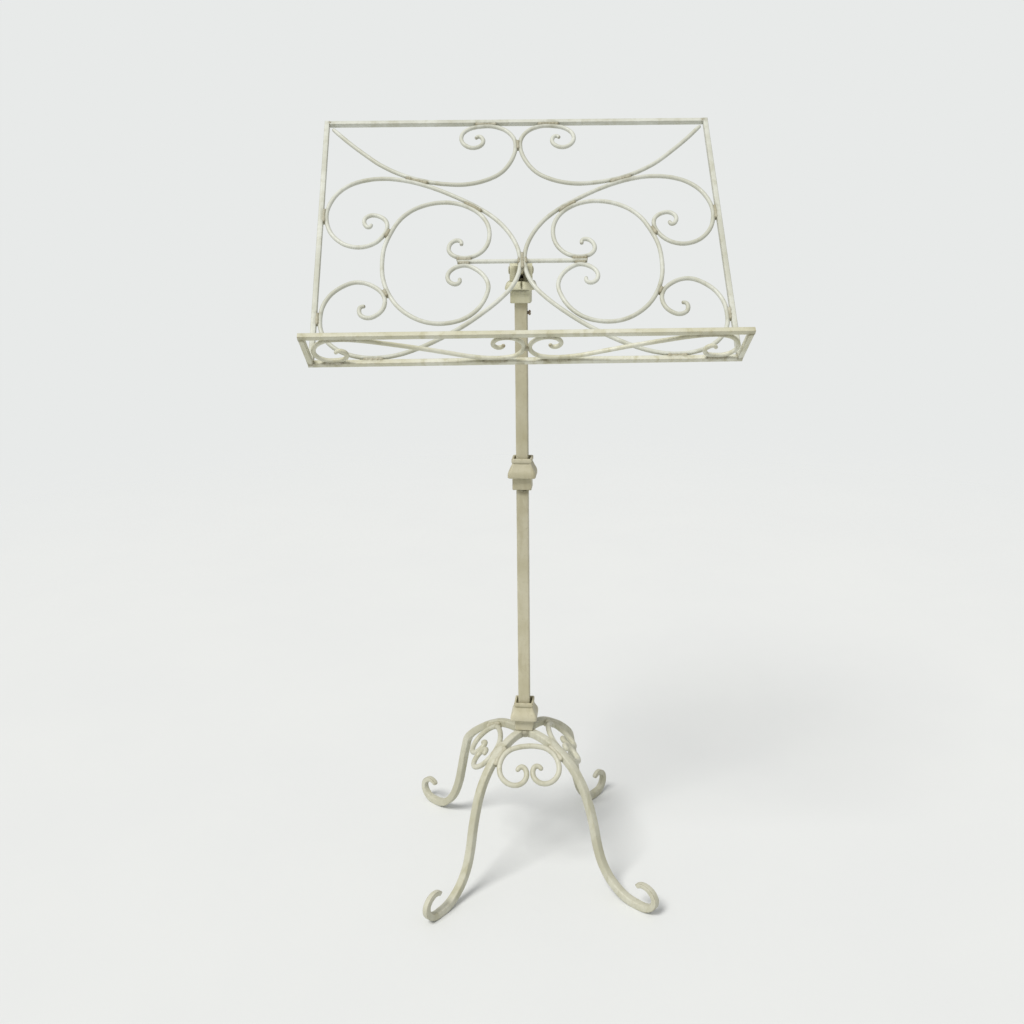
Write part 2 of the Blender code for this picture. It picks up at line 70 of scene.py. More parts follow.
def spline(points, step=2.0):
    line = [Vector(point) for point in points]
    line = [2 * line[0] - line[1]] + line + [2 * line[-1] - line[-2]]
    curve = []
    for a, b, c, d in zip(line, line[1:], line[2:], line[3:]):
        t1 = (b - a).length ** 0.5
        t2 = t1 + (c - b).length ** 0.5
        t3 = t2 + (d - c).length ** 0.5
        count = max(2, round((c - b).length / step))
        for i in range(count):
            t = t1 + (t2 - t1) * i / count
            ab = a + (b - a) * (t / t1)
            bc = b + (c - b) * ((t - t1) / (t2 - t1))
            cd = c + (d - c) * ((t - t2) / (t3 - t2))
            left = ab + (bc - ab) * (t / t2)
            right = bc + (cd - bc) * ((t - t1) / (t3 - t1))
            curve.append(left + (right - left) * ((t - t1) / (t2 - t1)))
    curve.append(line[-2])
    return curve


def fair(curve, rounds=16):
    for _ in range(rounds):
        for weight in (0.5, -0.53):
            moved = [a + ((p + q) / 2 - a) * weight for p, a, q in zip(curve, curve[1:], curve[2:])]
            curve = [curve[0]] + moved + [curve[-1]]
    return curve


def arcs(start, bends, heading=0.0, turnStep=3.0):
    points = [Vector(start)]
    for length, turn in bends:
        count = max(1, math.ceil(abs(turn) / turnStep), math.ceil(length / 3.0))
        for _ in range(count):
            halfTurn = math.radians(turn / count) / 2
            chord = length / count
            if abs(halfTurn) > 1e-9:
                chord *= math.sin(halfTurn) / halfTurn
            middle = math.radians(heading) + halfTurn
            points.append(points[-1] + Vector((math.cos(middle), math.sin(middle))) * chord)
            heading += turn / count
    return points


def paced(line, step, tips=(), tipLength=0.0):
    # Even steps along a line, with a few closer ones near a rounded tip at the named ends
    runs = [0.0]
    for a, b in zip(line, line[1:]):
        runs.append(runs[-1] + (b - a).length)
    total = runs[-1]
    count = max(2, round(total / step))
    stops = [total * i / count for i in range(count + 1)]
    for end in tips:
        near = [tipLength * share for share in (0.0, 0.06, 0.2, 0.42, 0.7, 1.0)]
        if end == "start":
            stops = near + [stop for stop in stops if stop > tipLength * 1.25]
        else:
            stops = [stop for stop in stops if stop < total - tipLength * 1.25]
            stops += [total - stop for stop in reversed(near)]
    points = []
    i = 0
    for stop in stops:
        while i < len(runs) - 2 and runs[i + 1] < stop:
            i += 1
        share = (stop - runs[i]) / max(1e-9, runs[i + 1] - runs[i])
        points.append(line[i] + (line[i + 1] - line[i]) * min(1.0, max(0.0, share)))
    return points, stops, total


def tipRound(edge, tipLength):
    return math.sqrt(max(0.0, 1 - (1 - min(1.0, edge / tipLength)) ** 2))


# ---- node trees ----

def addNode(tree, kind, links=None, **settings):
    node = tree.nodes.new(kind)
    for key, value in settings.items():
        setattr(node, key, value)
    for socket, source in (links or {}).items():
        if isinstance(source, bpy.types.NodeSocket):
            tree.links.new(source, node.inputs[socket])
        else:
            node.inputs[socket].default_value = source
    return node


def maths(tree, operation, first, second, clamp=False):
    node = addNode(tree, "ShaderNodeMath", {0: first, 1: second}, operation=operation, use_clamp=clamp)
    return node.outputs[0]


def times(tree, first, second):
    return maths(tree, "MULTIPLY", first, second)


def plus(tree, first, second):
    return maths(tree, "ADD", first, second)


def newTree(name, sizes):
    tree = bpy.data.node_groups.new(name, "GeometryNodeTree")
    sockets = [("Path", "Geometry"), *sizes.items(), ("Finish", "Material")]
    for label, kind in sockets:
        tree.interface.new_socket(label, in_out="INPUT", socket_type="NodeSocket" + kind)
    tree.interface.new_socket("Mesh", in_out="OUTPUT", socket_type="NodeSocketGeometry")
    return tree, tree.nodes.new("NodeGroupInput").outputs


def thicknessOf(tree):
    node = addNode(tree, "GeometryNodeInputNamedAttribute", {"Name": "thickness"}, data_type="FLOAT")
    return node.outputs[0]


def sweep(tree, curve, section):
    return addNode(tree, "GeometryNodeCurveToMesh",
                   {"Curve": curve, "Profile Curve": section.outputs[0], "Scale": thicknessOf(tree),
                    "Fill Caps": True}).outputs[0]


def hammered(tree, given, shape):
    # The unevenness of forged and painted iron, then the finish every tree ends with
    place = addNode(tree, "GeometryNodeInputPosition").outputs[0]
    lumps = addNode(tree, "ShaderNodeTexNoise",
                    {"Vector": place, "W": given["Seed"], "Scale": given["Lumps Per Metre"],
                     "Detail": 2.0, "Roughness": 0.55}, noise_dimensions="4D")
    centred = maths(tree, "SUBTRACT", lumps.outputs[0], 0.5)
    normal = addNode(tree, "GeometryNodeInputNormal").outputs[0]
    push = addNode(tree, "ShaderNodeVectorMath", {0: normal}, operation="SCALE")
    tree.links.new(times(tree, centred, given["Hammering"]), push.inputs["Scale"])
    moved = addNode(tree, "GeometryNodeSetPosition", {"Geometry": shape, "Offset": push.outputs[0]})
    smooth = addNode(tree, "GeometryNodeSetShadeSmooth", {"Geometry": moved.outputs[0]})
    real = addNode(tree, "GeometryNodeRealizeInstances", {"Geometry": smooth.outputs[0]})
    coated = addNode(tree, "GeometryNodeSetMaterial",
                     {"Geometry": real.outputs[0], "Material": given["Finish"]})
    out = tree.nodes.new("NodeGroupOutput")
    tree.links.new(coated.outputs[0], out.inputs["Mesh"])
    return tree


def forgedRodTree():
    tree, given = newTree("forgedRod", {"Radius": "Float", "Sides": "Int", "Hammering": "Float",
                                        "Lumps Per Metre": "Float", "Seed": "Float"})
    curve = addNode(tree, "GeometryNodeMeshToCurve", {"Mesh": given["Path"]}).outputs[0]
    section = addNode(tree, "GeometryNodeCurvePrimitiveCircle",
                      {"Resolution": given["Sides"], "Radius": given["Radius"]})
    return hammered(tree, given, sweep(tree, curve, section))


def squareBarTree():
    tree, given = newTree("squareBar", {"Side": "Float", "Corner": "Float", "Tilt": "Float",
                                        "Hammering": "Float", "Lumps Per Metre": "Float", "Seed": "Float"})
    curve = addNode(tree, "GeometryNodeMeshToCurve", {"Mesh": given["Path"]}).outputs[0]
    tilted = addNode(tree, "GeometryNodeSetCurveTilt", {"Curve": curve, "Tilt": given["Tilt"]})
    square = addNode(tree, "GeometryNodeCurvePrimitiveQuadrilateral",
                     {"Width": given["Side"], "Height": given["Side"]})
    filleted = addNode(tree, "GeometryNodeFilletCurve", {"Curve": square.outputs[0], "Count": 3,
                                                         "Radius": given["Corner"]}, mode="POLY")
    section = addNode(tree, "GeometryNodeSubdivideCurve", {"Curve": filleted.outputs[0], "Cuts": 1})
    return hammered(tree, given, sweep(tree, tilted.outputs[0], section))


def weldBeadTree():
    tree, given = newTree("weldBeads", {"Hammering": "Float", "Lumps Per Metre": "Float", "Seed": "Float",
                                        "Smallest": "Float", "Largest": "Float"})
    blob = addNode(tree, "GeometryNodeMeshIcoSphere", {"Radius": 1.0, "Subdivisions": 3})
    spread = addNode(tree, "FunctionNodeRandomValue", {"Seed": 7}, data_type="FLOAT")
    for label, identifier in (("Smallest", "Min_001"), ("Largest", "Max_001")):
        tree.links.new(given[label], next(s for s in spread.inputs if s.identifier == identifier))
    size = times(tree, next(s for s in spread.outputs if s.enabled), thicknessOf(tree))
    points = addNode(tree, "GeometryNodeMeshToPoints", {"Mesh": given["Path"]})
    blobs = addNode(tree, "GeometryNodeInstanceOnPoints",
                    {"Points": points.outputs[0], "Instance": blob.outputs[0], "Scale": size})
    real = addNode(tree, "GeometryNodeRealizeInstances", {"Geometry": blobs.outputs[0]})
    return hammered(tree, given, real.outputs[0])


def pathMesh(name, points, thickness, joined=True):
    mesh = bpy.data.meshes.new(name)
    edges = [(i, i + 1) for i in range(len(points) - 1)] if joined else []
    mesh.from_pydata([point[:] for point in points], edges, [])
    mesh.attributes.new("thickness", "FLOAT", "POINT").data.foreach_set("value", thickness)
    return mesh


def grown(name, path, tree, sizes, finish, voxel=0.0):
    # Runs a node tree on a path and returns the result as a plain mesh object
    host = bpy.data.objects.new(name + "Path", path)
    bpy.context.scene.collection.objects.link(host)
    modifier = host.modifiers.new("grow", "NODES")
    modifier.node_group = tree
    identifiers = {item.name: item.identifier for item in tree.interface.items_tree if item.in_out == "INPUT"}
    for label, value in sizes.items():
        modifier[identifiers[label]] = value
    modifier[identifiers["Finish"]] = finish
    if voxel:
        fuse = host.modifiers.new("fuse", "REMESH")
        fuse.mode = "VOXEL"
        fuse.voxel_size = voxel
        fuse.use_smooth_shade = True
    evaluated = host.evaluated_get(bpy.context.evaluated_depsgraph_get())
    mesh = bpy.data.meshes.new_from_object(evaluated)
    bpy.data.objects.remove(host)
    mesh.name = name
    return finished(name, mesh, finish)


def finished(name, mesh, finish):
    if "thickness" in mesh.attributes:
        mesh.attributes.remove(mesh.attributes["thickness"])
    mesh.materials.clear()
    mesh.materials.append(finish)
    mesh.polygons.foreach_set("material_index", [0] * len(mesh.polygons))
    data = bmesh.new()
    data.from_mesh(mesh)
    bmesh.ops.recalc_face_normals(data, faces=data.faces[:])
    if data.calc_volume(signed=True) < 0:
        bmesh.ops.reverse_faces(data, faces=data.faces[:])
    data.to_mesh(mesh)
    data.free()
    piece = bpy.data.objects.new(name, mesh)
    bpy.context.scene.collection.objects.link(piece)
    return piece


def settle(piece, body, slot, *nodes):
    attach(piece, body)
    if nodes:
        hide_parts(*nodes)


def pieceName(node):
    first, *others = node.split("_")
    return first + "".join(word.capitalize() for word in others)


# ---- finishes ----

def tone(red, green, blue):
    # A colour chart's red, green and blue turned into the linear value a shader takes
    return tuple(((c / 255 + 0.055) / 1.055) ** 2.4 for c in (red, green, blue)) + (1.0,)


# In each finish the darkest tone serves both as painted shade in hollows, slots and beside welds and as dirt
# specks; its strength sets how dark both are
agedPaint = {
    "deskPaint": {"cream": tone(215, 217, 206), "shade": tone(195, 196, 181), "stain": tone(176, 174, 147),
                  "grime": tone(120, 117, 92), "bare": tone(134, 126, 106), "staining": 0.5, "dirt": 0.5,
                  "wear": 0.55, "roughness": (0.34, 0.54), "seed": 1.0},
    "lipPaint": {"cream": tone(220, 220, 204), "shade": tone(203, 201, 176), "stain": tone(176, 171, 130),
                 "grime": tone(114, 108, 74), "bare": tone(136, 118, 94), "staining": 0.65, "dirt": 0.55,
                 "wear": 0.55, "roughness": (0.34, 0.54), "seed": 5.0},
    "postPaint": {"cream": tone(200, 195, 170), "shade": tone(184, 178, 148), "stain": tone(166, 157, 122),
                  "grime": tone(112, 105, 74), "bare": tone(128, 116, 90), "staining": 0.55, "dirt": 0.6,
                  "wear": 0.6, "roughness": (0.36, 0.56), "seed": 9.0},
    # The head's darkest tone, laid on at full strength, is painted shade in its slot and groove
    "headPaint": {"cream": tone(217, 216, 192), "shade": tone(202, 199, 170), "stain": tone(182, 178, 138),
                  "grime": tone(92, 89, 64), "bare": tone(134, 124, 98), "staining": 0.5, "dirt": 0.95,
                  "wear": 0.5, "roughness": (0.36, 0.56), "seed": 11.0},
    "legPaint": {"cream": tone(204, 203, 186), "shade": tone(184, 182, 160), "stain": tone(164, 160, 126),
                 "grime": tone(112, 106, 78), "bare": tone(120, 110, 86), "staining": 0.6, "dirt": 0.65,
                 "wear": 0.75, "roughness": (0.36, 0.58), "seed": 13.0},
    "weldPaint": {"cream": tone(204, 202, 184), "shade": tone(184, 180, 156), "stain": tone(162, 156, 122),
                  "grime": tone(118, 112, 84), "bare": tone(134, 124, 98), "staining": 0.6, "dirt": 0.5,
                  "wear": 0.45, "roughness": (0.4, 0.6), "seed": 17.0},
}


def mapped(tree, source, low, high, bottom, top, **settings):
    return addNode(tree, "ShaderNodeMapRange", {"Value": source, "From Min": low, "From Max": high,
                                                "To Min": bottom, "To Max": top}, **settings).outputs[0]


def ramp(tree, source, low, high, top=1.0, bottom=0.0):
    return mapped(tree, source, low, high, bottom, top, interpolation_type="SMOOTHSTEP")


def blendColour(tree, share, under, over):
    node = addNode(tree, "ShaderNodeMix", data_type="RGBA", clamp_factor=True)
    slots = {s.identifier: s for s in node.inputs}
    tree.links.new(share, slots["Factor_Float"])
    for key, value in (("A_Color", under), ("B_Color", over)):
        if isinstance(value, bpy.types.NodeSocket):
            tree.links.new(value, slots[key])
        else:
            slots[key].default_value = value
    return next(s for s in node.outputs if s.identifier == "Result_Color")


def pattern(tree, place, perMetre, detail, roughness, distortion=0.0):
    return addNode(tree, "ShaderNodeTexNoise", {"Vector": place, "Scale": perMetre, "Detail": detail,
                                                "Roughness": roughness, "Distortion": distortion}).outputs[0]


def stretched(tree, place, along):
    # The same place with its heights drawn out, for patterns that run up and down
    longer = addNode(tree, "ShaderNodeMapping", {"Vector": place})
    longer.inputs["Scale"].default_value = (1.0, 1.0, along)
    return longer.outputs[0]


def roughen(tree, shader, height, strength, distance):
    bump = addNode(tree, "ShaderNodeBump", {"Height": height, "Strength": strength, "Distance": distance})
    tree.links.new(bump.outputs[0], shader.inputs["Normal"])


def newMaterial(name):
    material = bpy.data.materials.new(name)
    material.use_nodes = True
    tree = material.node_tree
    place = addNode(tree, "ShaderNodeTexCoord").outputs["Object"]
    return material, tree, tree.nodes["Principled BSDF"], place


def paintMaterial(name, look):
    material, tree, shader, place = newMaterial(name)
    shifted = addNode(tree, "ShaderNodeMapping", {"Vector": place})
    shifted.inputs["Location"].default_value = (look["seed"], look["seed"] * 0.7, -look["seed"] * 0.3)
    moved = shifted.outputs[0]
    drawn = stretched(tree, moved, 0.3)     # runs and brush strokes hang downwards
    cloud = pattern(tree, moved, 17.0, 4.0, 0.55)
    run = pattern(tree, drawn, 85.0, 5.0, 0.62, 0.4)
    mottle = pattern(tree, moved, 230.0, 5.0, 0.6)
    speck = pattern(tree, moved, 620.0, 3.0, 0.55)
    grime = addNode(tree, "ShaderNodeAttribute", attribute_name="grime").outputs["Fac"]
    rub = addNode(tree, "ShaderNodeAttribute", attribute_name="rub").outputs["Fac"]

    colour = blendColour(tree, ramp(tree, cloud, 0.34, 0.66), look["cream"], look["shade"])
    colour = blendColour(tree, ramp(tree, run, 0.46, 0.74, look["staining"]), colour, look["stain"])
    colour = blendColour(tree, ramp(tree, mottle, 0.42, 0.7, 0.35), colour, look["shade"])
    # Painted shade darkens beside the welds and in the hollows, and dirt lies here and there as specks
    hollowShade = times(tree, grime, ramp(tree, plus(tree, run, times(tree, grime, 0.45)), 0.42, 0.86))
    dots = ramp(tree, times(tree, speck, plus(tree, mottle, 0.45)), 0.64, 0.78, 0.5)
    shadedAndDirty = maths(tree, "MAXIMUM", hollowShade, dots)
    colour = blendColour(tree, times(tree, shadedAndDirty, look["dirt"]), colour, look["grime"])
    # Paint has gone from the arrises in broken patches
    broken = plus(tree, times(tree, rub, 0.75), times(tree, mottle, 0.55))
    worn = ramp(tree, plus(tree, broken, times(tree, run, 0.35)), 0.78, 1.02)
    colour = blendColour(tree, times(tree, worn, look["wear"]), colour, look["bare"])
    tree.links.new(colour, shader.inputs["Base Color"])

    polish = mapped(tree, mottle, 0.3, 0.7, *look["roughness"])
    dull = maths(tree, "ADD", polish, times(tree, shadedAndDirty, 0.18), clamp=True)
    tree.links.new(dull, shader.inputs["Roughness"])
    shader.inputs["Specular IOR Level"].default_value = 0.45

    skin = plus(tree, times(tree, mottle, 0.55), times(tree, speck, 0.25))
    skin = plus(tree, skin, times(tree, run, 0.35))
    skin = maths(tree, "SUBTRACT", skin, times(tree, worn, 0.12))
    roughen(tree, shader, skin, 0.45, 0.0009)
    return material


bareMetal = {
    "rustyIron": {"light": tone(172, 160, 140), "dark": tone(120, 102, 82),
                  "metallic": 0.55, "roughness": (0.42, 0.7)},
    "dullSteel": {"light": tone(160, 156, 148), "dark": tone(112, 106, 96),
                  "metallic": 0.9, "roughness": (0.28, 0.46)},
}


def metalMaterial(name, look):
    material, tree, shader, place = newMaterial(name)
    line = pattern(tree, stretched(tree, place, 0.06), 900.0, 3.0, 0.6)     # scratches along the stem
    patch = pattern(tree, place, 160.0, 5.0, 0.65)
    share = ramp(tree, plus(tree, times(tree, patch, 0.7), times(tree, line, 0.3)), 0.38, 0.66)
    tree.links.new(blendColour(tree, share, look["light"], look["dark"]), shader.inputs["Base Color"])
    tree.links.new(mapped(tree, patch, 0.3, 0.7, *look["roughness"]), shader.inputs["Roughness"])
    shader.inputs["Metallic"].default_value = look["metallic"]
    roughen(tree, shader, plus(tree, line, patch), 0.3, 0.0004)
    return material


finishes = {name: paintMaterial(name, look) for name, look in agedPaint.items()}
finishes.update({name: metalMaterial(name, look) for name, look in bareMetal.items()})
print("finishes:", ", ".join(finishes))


# ---- wear and painted shade, stored on the points of each piece ----

# Settings for the rubbed edges and for the painted shade in hollows and beside welds
# Bends are half the curvature, per millimetre, and positive on an outer edge
wear = {"shortest": 0.15, "sharpest": 0.8, "rubFrom": 0.11, "rubOver": 0.16,
        "hollowShadeFrom": 0.01, "hollowShadeOver": 0.12, "seamReach": 8.0}


def readAll(items, key, width, kind=np.float64):
    values = np.empty(len(items) * width, dtype=kind)
    items.foreach_get(key, values)
    return values.reshape(-1, width)


def storeWearAndShade(piece, seams, extraRub=None, extraShade=None):
    # painted shade falls off with distance from a weld and gathers in hollows; rub follows the outer edges
    mesh = piece.data
    count = len(mesh.vertices)
    place = readAll(mesh.vertices, "co", 3)
    normal = readAll(mesh.vertices, "normal", 3)
    a, b = readAll(mesh.edges, "vertices", 2, np.int64).T
    span = place[b] - place[a]
    square = np.maximum((span * span).sum(1), (wear["shortest"] * mm) ** 2)
    bend = np.zeros(count)
    shares = np.zeros(count)
    for here, sign in ((a, -1.0), (b, 1.0)):
        value = sign * (span * normal[here]).sum(1) / square * mm
        np.add.at(bend, here, np.clip(value, -wear["sharpest"], wear["sharpest"]))
        np.add.at(shares, here, 1.0)
    bend /= np.maximum(shares, 1.0)
    for _ in range(2):
        spread = np.zeros(count)
        np.add.at(spread, a, bend[b])
        np.add.at(spread, b, bend[a])
        bend = 0.5 * bend + 0.5 * spread / np.maximum(shares, 1.0)
    rub = np.clip((bend - wear["rubFrom"]) / wear["rubOver"], 0.0, 1.0)
    # Painted shade in the hollows, where the surface bends inwards
    grime = np.clip((-bend - wear["hollowShadeFrom"]) / wear["hollowShadeOver"], 0.0, 1.0)
    # Painted shade beside the welds, fading with distance from each weld
    if seams is not None:
        near = np.array([seams.find(point)[2] for point in place]) / mm
        fall = np.clip(1.0 - near / wear["seamReach"], 0.0, 1.0)
        grime = np.maximum(grime, fall * fall * (3 - 2 * fall))
    if extraRub:
        rub = np.maximum(rub, np.array([extraRub(*point) for point in place]))
    if extraShade:
        grime = np.maximum(grime, np.array([extraShade(*point) for point in place]))
    for name, values in (("grime", grime), ("rub", rub)):
        layer = mesh.attributes.get(name) or mesh.attributes.new(name, "FLOAT", "POINT")
        layer.data.foreach_set("value", values)


def treeOf(points):
    tree = kdtree.KDTree(len(points))
    for i, point in enumerate(points):
        tree.insert(point, i)
    tree.balance()
    return tree


def weldSpots(paths, reach):
    # Where two centre lines pass close enough to be welded: the place, the open side, the gap
    names = list(paths)
    owners = [(i, j) for i, name in enumerate(names) for j in range(len(paths[name][0]))]
    tree = treeOf([paths[names[i]][0][j] for i, j in owners])
    widest = max(radius for _, radius in paths.values())
    spots = []
    for i, name in enumerate(names):
        line, radius = paths[name]
        for j, point in enumerate(line):
            nearest = {}
            for other, index, distance in tree.find_range(point, (radius + widest + reach) * mm):
                k = owners[index][0]
                if k > i and distance < nearest.get(k, (None, 1.0))[1]:
                    nearest[k] = (other, distance)
            for k, (other, distance) in nearest.items():
                gap = distance / mm - radius - paths[names[k]][1]
                if gap > reach:
                    continue
                apart = other - point
                along = line[min(j + 1, len(line) - 1)] - line[max(j - 1, 0)]
                openSide = along.cross(apart)
                if openSide.length < 1e-12:
                    openSide = Vector((0, 0, 1))
                share = (radius + gap / 2) * mm / max(distance, 1e-9)
                spots.append((point + apart * share, openSide.normalized(), gap))
    return spots


def weldPiece(name, spots, look, extra):
    beads = []
    for place, openSide, gap in spots:
        size = look["bead"] + max(0.0, gap) * look["bridge"]
        beads += [(place + openSide * side * look["lift"] * mm, size) for side in (-1.0, 1.0)]
    beads += extra
    places, sizes = zip(*beads)
    path = pathMesh(name + "Spots", places, [size * mm for size in sizes], joined=False)
    return grown(name, path, weldBeads,
                 {"Hammering": look["hammering"] * mm, "Lumps Per Metre": look["lumps"], "Seed": look["seed"],
                  "Smallest": look["smallest"], "Largest": look["largest"]},
                 finishes["weldPaint"], look["voxel"] * mm)


forgedRod = forgedRodTree()
squareBar = squareBarTree()
weldBeads = weldBeadTree()
print("node trees built")


# ---- the desk ----

scrollRod = {"radius": 2.5, "sides": 18, "step": 1.6, "taperLength": 10.0, "tip": 0.85,
             "hammering": 0.34, "lumps": 130.0}
# Bend points of the left-hand scrolls in the desk's plane; the right-hand ones are mirrored
deskScrolls = {
    "corner": [
        (-228, 347), (-208, 325), (-185, 302.5), (-166, 286), (-140, 270.3), (-114, 260.6),
        (-86, 255.4), (-64, 255), (-42, 260.5), (-22.5, 272), (-9.5, 290.5), (-3.2, 311), (-4.5, 328),
        (-14, 341.5), (-29, 348.6), (-44, 349), (-59, 345), (-68, 336), (-68.8, 325), (-63.5, 317),
        (-55.5, 313.6), (-47.2, 316), (-42.5, 322.5), (-43.4, 329), (-48, 332.6), (-52, 328.5)],
    "main": [
        (-175.5, 195.5), (-176, 191.5), (-179.5, 190.3), (-183.5, 196), (-183.2, 203.3),
        (-176.5, 208.3), (-167, 206.8), (-159, 200.3), (-156.8, 189.7), (-160.8, 178), (-169.5, 167.6),
        (-179.8, 162.2), (-191, 160.8), (-207, 166), (-221.5, 181), (-228.2, 201.5), (-227, 221.5),
        (-217, 242.5), (-201, 256.5), (-180, 263.8), (-157, 265), (-135, 261.2), (-117, 255.4),
        (-97, 246.6), (-72.5, 233), (-48, 217), (-29, 200), (-14.5, 180), (-5.2, 158), (-2.6, 138),
        (-5.2, 119), (-14, 100), (-28, 83), (-47, 65), (-68, 48), (-91, 33), (-116, 19.5), (-141, 10),
        (-166, 6.4), (-187, 9), (-206, 17), (-219, 29), (-226.5, 44), (-228.3, 61), (-226, 77.5),
        (-218, 93), (-206, 103.8), (-193, 109.7), (-180, 108.8), (-167.5, 102), (-159.6, 93.2),
        (-156.8, 83), (-158.8, 72.5), (-165, 64.5), (-174, 60.3), (-182, 62.8), (-185.3, 69.5),
        (-183, 76.3), (-178.3, 76)],
    "circle": [
        (-70.5, 161.5), (-70.2, 167), (-75.5, 169.4), (-81.2, 166.2), (-84.8, 159), (-83.4, 151.3),
        (-77, 145.6), (-66.5, 143.3), (-55.5, 146), (-46.5, 152.6), (-39.8, 163.5), (-37.2, 178),
        (-39.8, 194.6), (-49.7, 210.3), (-66.4, 221.8), (-85, 226.8), (-106, 225), (-126, 216.5),
        (-141.5, 202), (-152.6, 181), (-159.6, 159), (-161.4, 136), (-159.6, 114), (-152.3, 92),
        (-140, 73), (-122, 58.5), (-104, 52), (-85, 52), (-67, 58), (-52.5, 70.5), (-43.4, 86.5),
        (-39.8, 102.5), (-44, 116), (-53.4, 126.6), (-65, 132.5), (-74.5, 130.8), (-81.6, 126.3),
        (-85.8, 119.5), (-85.5, 112), (-80.7, 106.8), (-75, 106.2), (-71.8, 110), (-72.8, 114.5)],
    "lip": [
        (-206, 19), (-203, 23.5), (-197, 22.5), (-194, 16), (-197, 9), (-206, 6.2), (-217, 6.8),
        (-225.5, 12.5), (-228.8, 22), (-226, 32), (-218, 40), (-206, 43.8), (-190, 43.8), (-172, 41),
        (-148, 35.2), (-112, 25.5), (-84, 17), (-60, 9.8), (-42, 6.6), (-25, 6.6), (-11.5, 11),
        (-3.7, 21.5), (-4.6, 33), (-12.5, 41.3), (-23, 43.8), (-32.3, 40.8), (-36.6, 33.5),
        (-33.2, 26.8), (-27, 26.3), (-24.6, 31)],
}
railBar = {"side": 6.0, "corner": 0.75, "step": 2.0, "hammering": 0.22, "lumps": 95.0, "gap": 0.3}
crossRods = {"v": 138.0, "inner": 5.5, "outer": 75.0}
deskPaths = {}      # centre line and radius of everything welded into the desk
deskPieces = []


def seedOf(name):
    return sum(ord(letter) for letter in name) * 0.137


def rod(name, flat, place, look, finish, tips=("start", "end")):
    tipLength = look["radius"] * look["tip"]
    points, stops, total = paced(flat, look["step"], tips, tipLength)
    sizes = []
    for stop in stops:
        size = 1.0
        for end, edge in (("start", stop), ("end", total - stop)):
            if end in tips:
                size = min(size, look["tip"] + (1 - look["tip"]) * edge / look["taperLength"])
                if edge < tipLength:
                    size *= tipRound(edge, tipLength)
        sizes.append(max(0.04, size))
    placed = [place(point.x, point.y) for point in points]
    piece = grown(name, pathMesh(name, placed, sizes), forgedRod,
                  {"Radius": look["radius"] * mm, "Sides": look["sides"], "Hammering": look["hammering"] * mm,
                   "Lumps Per Metre": look["lumps"], "Seed": seedOf(name)}, finish)
    return piece, placed


def bar(name, placed, sizes, look, finish, tilt=0.0):
    return grown(name, pathMesh(name, placed, sizes), squareBar,
                 {"Side": look["side"] * mm, "Corner": look["corner"] * mm, "Tilt": math.radians(tilt),
                  "Hammering": look["hammering"] * mm, "Lumps Per Metre": look["lumps"],
                  "Seed": seedOf(name)}, finish)


def keepDesk(piece, placed, radius, node):
    deskPaths[piece.name] = (placed, radius)
    settle(piece, "desk", node, node)
    deskPieces.append(piece)


for side, sign in (("Left", 1.0), ("Right", -1.0)):
    for kind, bends in deskScrolls.items():
        flat = [Vector((point.x * sign, point.y)) for point in fair(spline(bends))]
        place, finish = (onLip, "lipPaint") if kind == "lip" else (onDesk, "deskPaint")
        piece, placed = rod(kind + "Scroll" + side, flat, place, scrollRod, finishes[finish])
        keepDesk(piece, placed, scrollRod["radius"], kind + "_scroll_" + side.lower())
    flat = [Vector((-sign * crossRods[end], crossRods["v"])) for end in ("inner", "outer")]
    piece, placed = rod("crossRod" + side, flat, onDesk, scrollRod, finishes["deskPaint"], tips=())
    keepDesk(piece, placed, scrollRod["radius"], "cross_rod_" + side.lower())
print("scrolls bent:", len(deskPieces))

half, length = stance["deskHalfWidth"], stance["deskLength"]
depth, splay, lean = stance["lipDepth"], stance["lipSplay"], stance["deskTilt"]
edge = railBar["side"] / 2
clear = edge + railBar["gap"]
rails = {
    "desk_bottom_rail": (onDesk(-half - edge, 0), onDesk(half + edge, 0), "lipPaint", lean),
    "desk_top_rail": (onDesk(-half + clear, length), onDesk(half - clear, length), "deskPaint", lean),
    "lip_front_rail": (onLip(-half - splay - edge, depth), onLip(half + splay + edge, depth),
                       "lipPaint", lean),
}
for side, sign in (("left", -1.0), ("right", 1.0)):
    ends = [onDesk(sign * half, v) for v in (clear, length + edge)]
    rails["desk_" + side + "_rail"] = (*ends, "deskPaint", 0.0)
    ends = [onLip(sign * (half + splay * w / depth), w) for w in (clear, depth - clear)]
    rails["lip_" + side + "_end"] = (*ends, "lipPaint", 0.0)
for node, (start, end, finish, tilt) in rails.items():
    count = max(2, round((end - start).length / mm / railBar["step"]))
    placed = [start.lerp(end, i / count) for i in range(count + 1)]
    piece = bar(pieceName(node), placed, [1.0] * len(placed), railBar, finishes[finish], tilt)
    keepDesk(piece, placed, edge, node)
print("rails cut:", len(rails))


# ---- turned and cast pieces ----

def cornerRing(half, corner, z, cornerSteps=6, flatSteps=6):
    # A square ring with rounded corners; a corner as large as half makes a circle, whose points take
    # their directions from a square
    if corner >= half:
        squareCorner = 0.4 * half
        square = cornerRing(half, squareCorner, 0.0, cornerSteps, flatSteps)
        return [point.normalized() * half + Vector((0, 0, z)) for point in square]
    reach = (half - corner) * math.sqrt(2)

    def onCorner(quarter, turn):
        middle = math.radians(45 + 90 * quarter)
        angle = middle + math.radians(turn)
        return Vector((reach * math.cos(middle) + corner * math.cos(angle),
                       reach * math.sin(middle) + corner * math.sin(angle), z))

    ring = []
    for quarter in range(4):
        ring += [onCorner(quarter, -45 + 90 * i / cornerSteps) for i in range(cornerSteps + 1)]
        start, end = ring[-1], onCorner(quarter + 1, -45)
        ring += [start.lerp(end, i / flatSteps) for i in range(1, flatSteps)]
    return ring


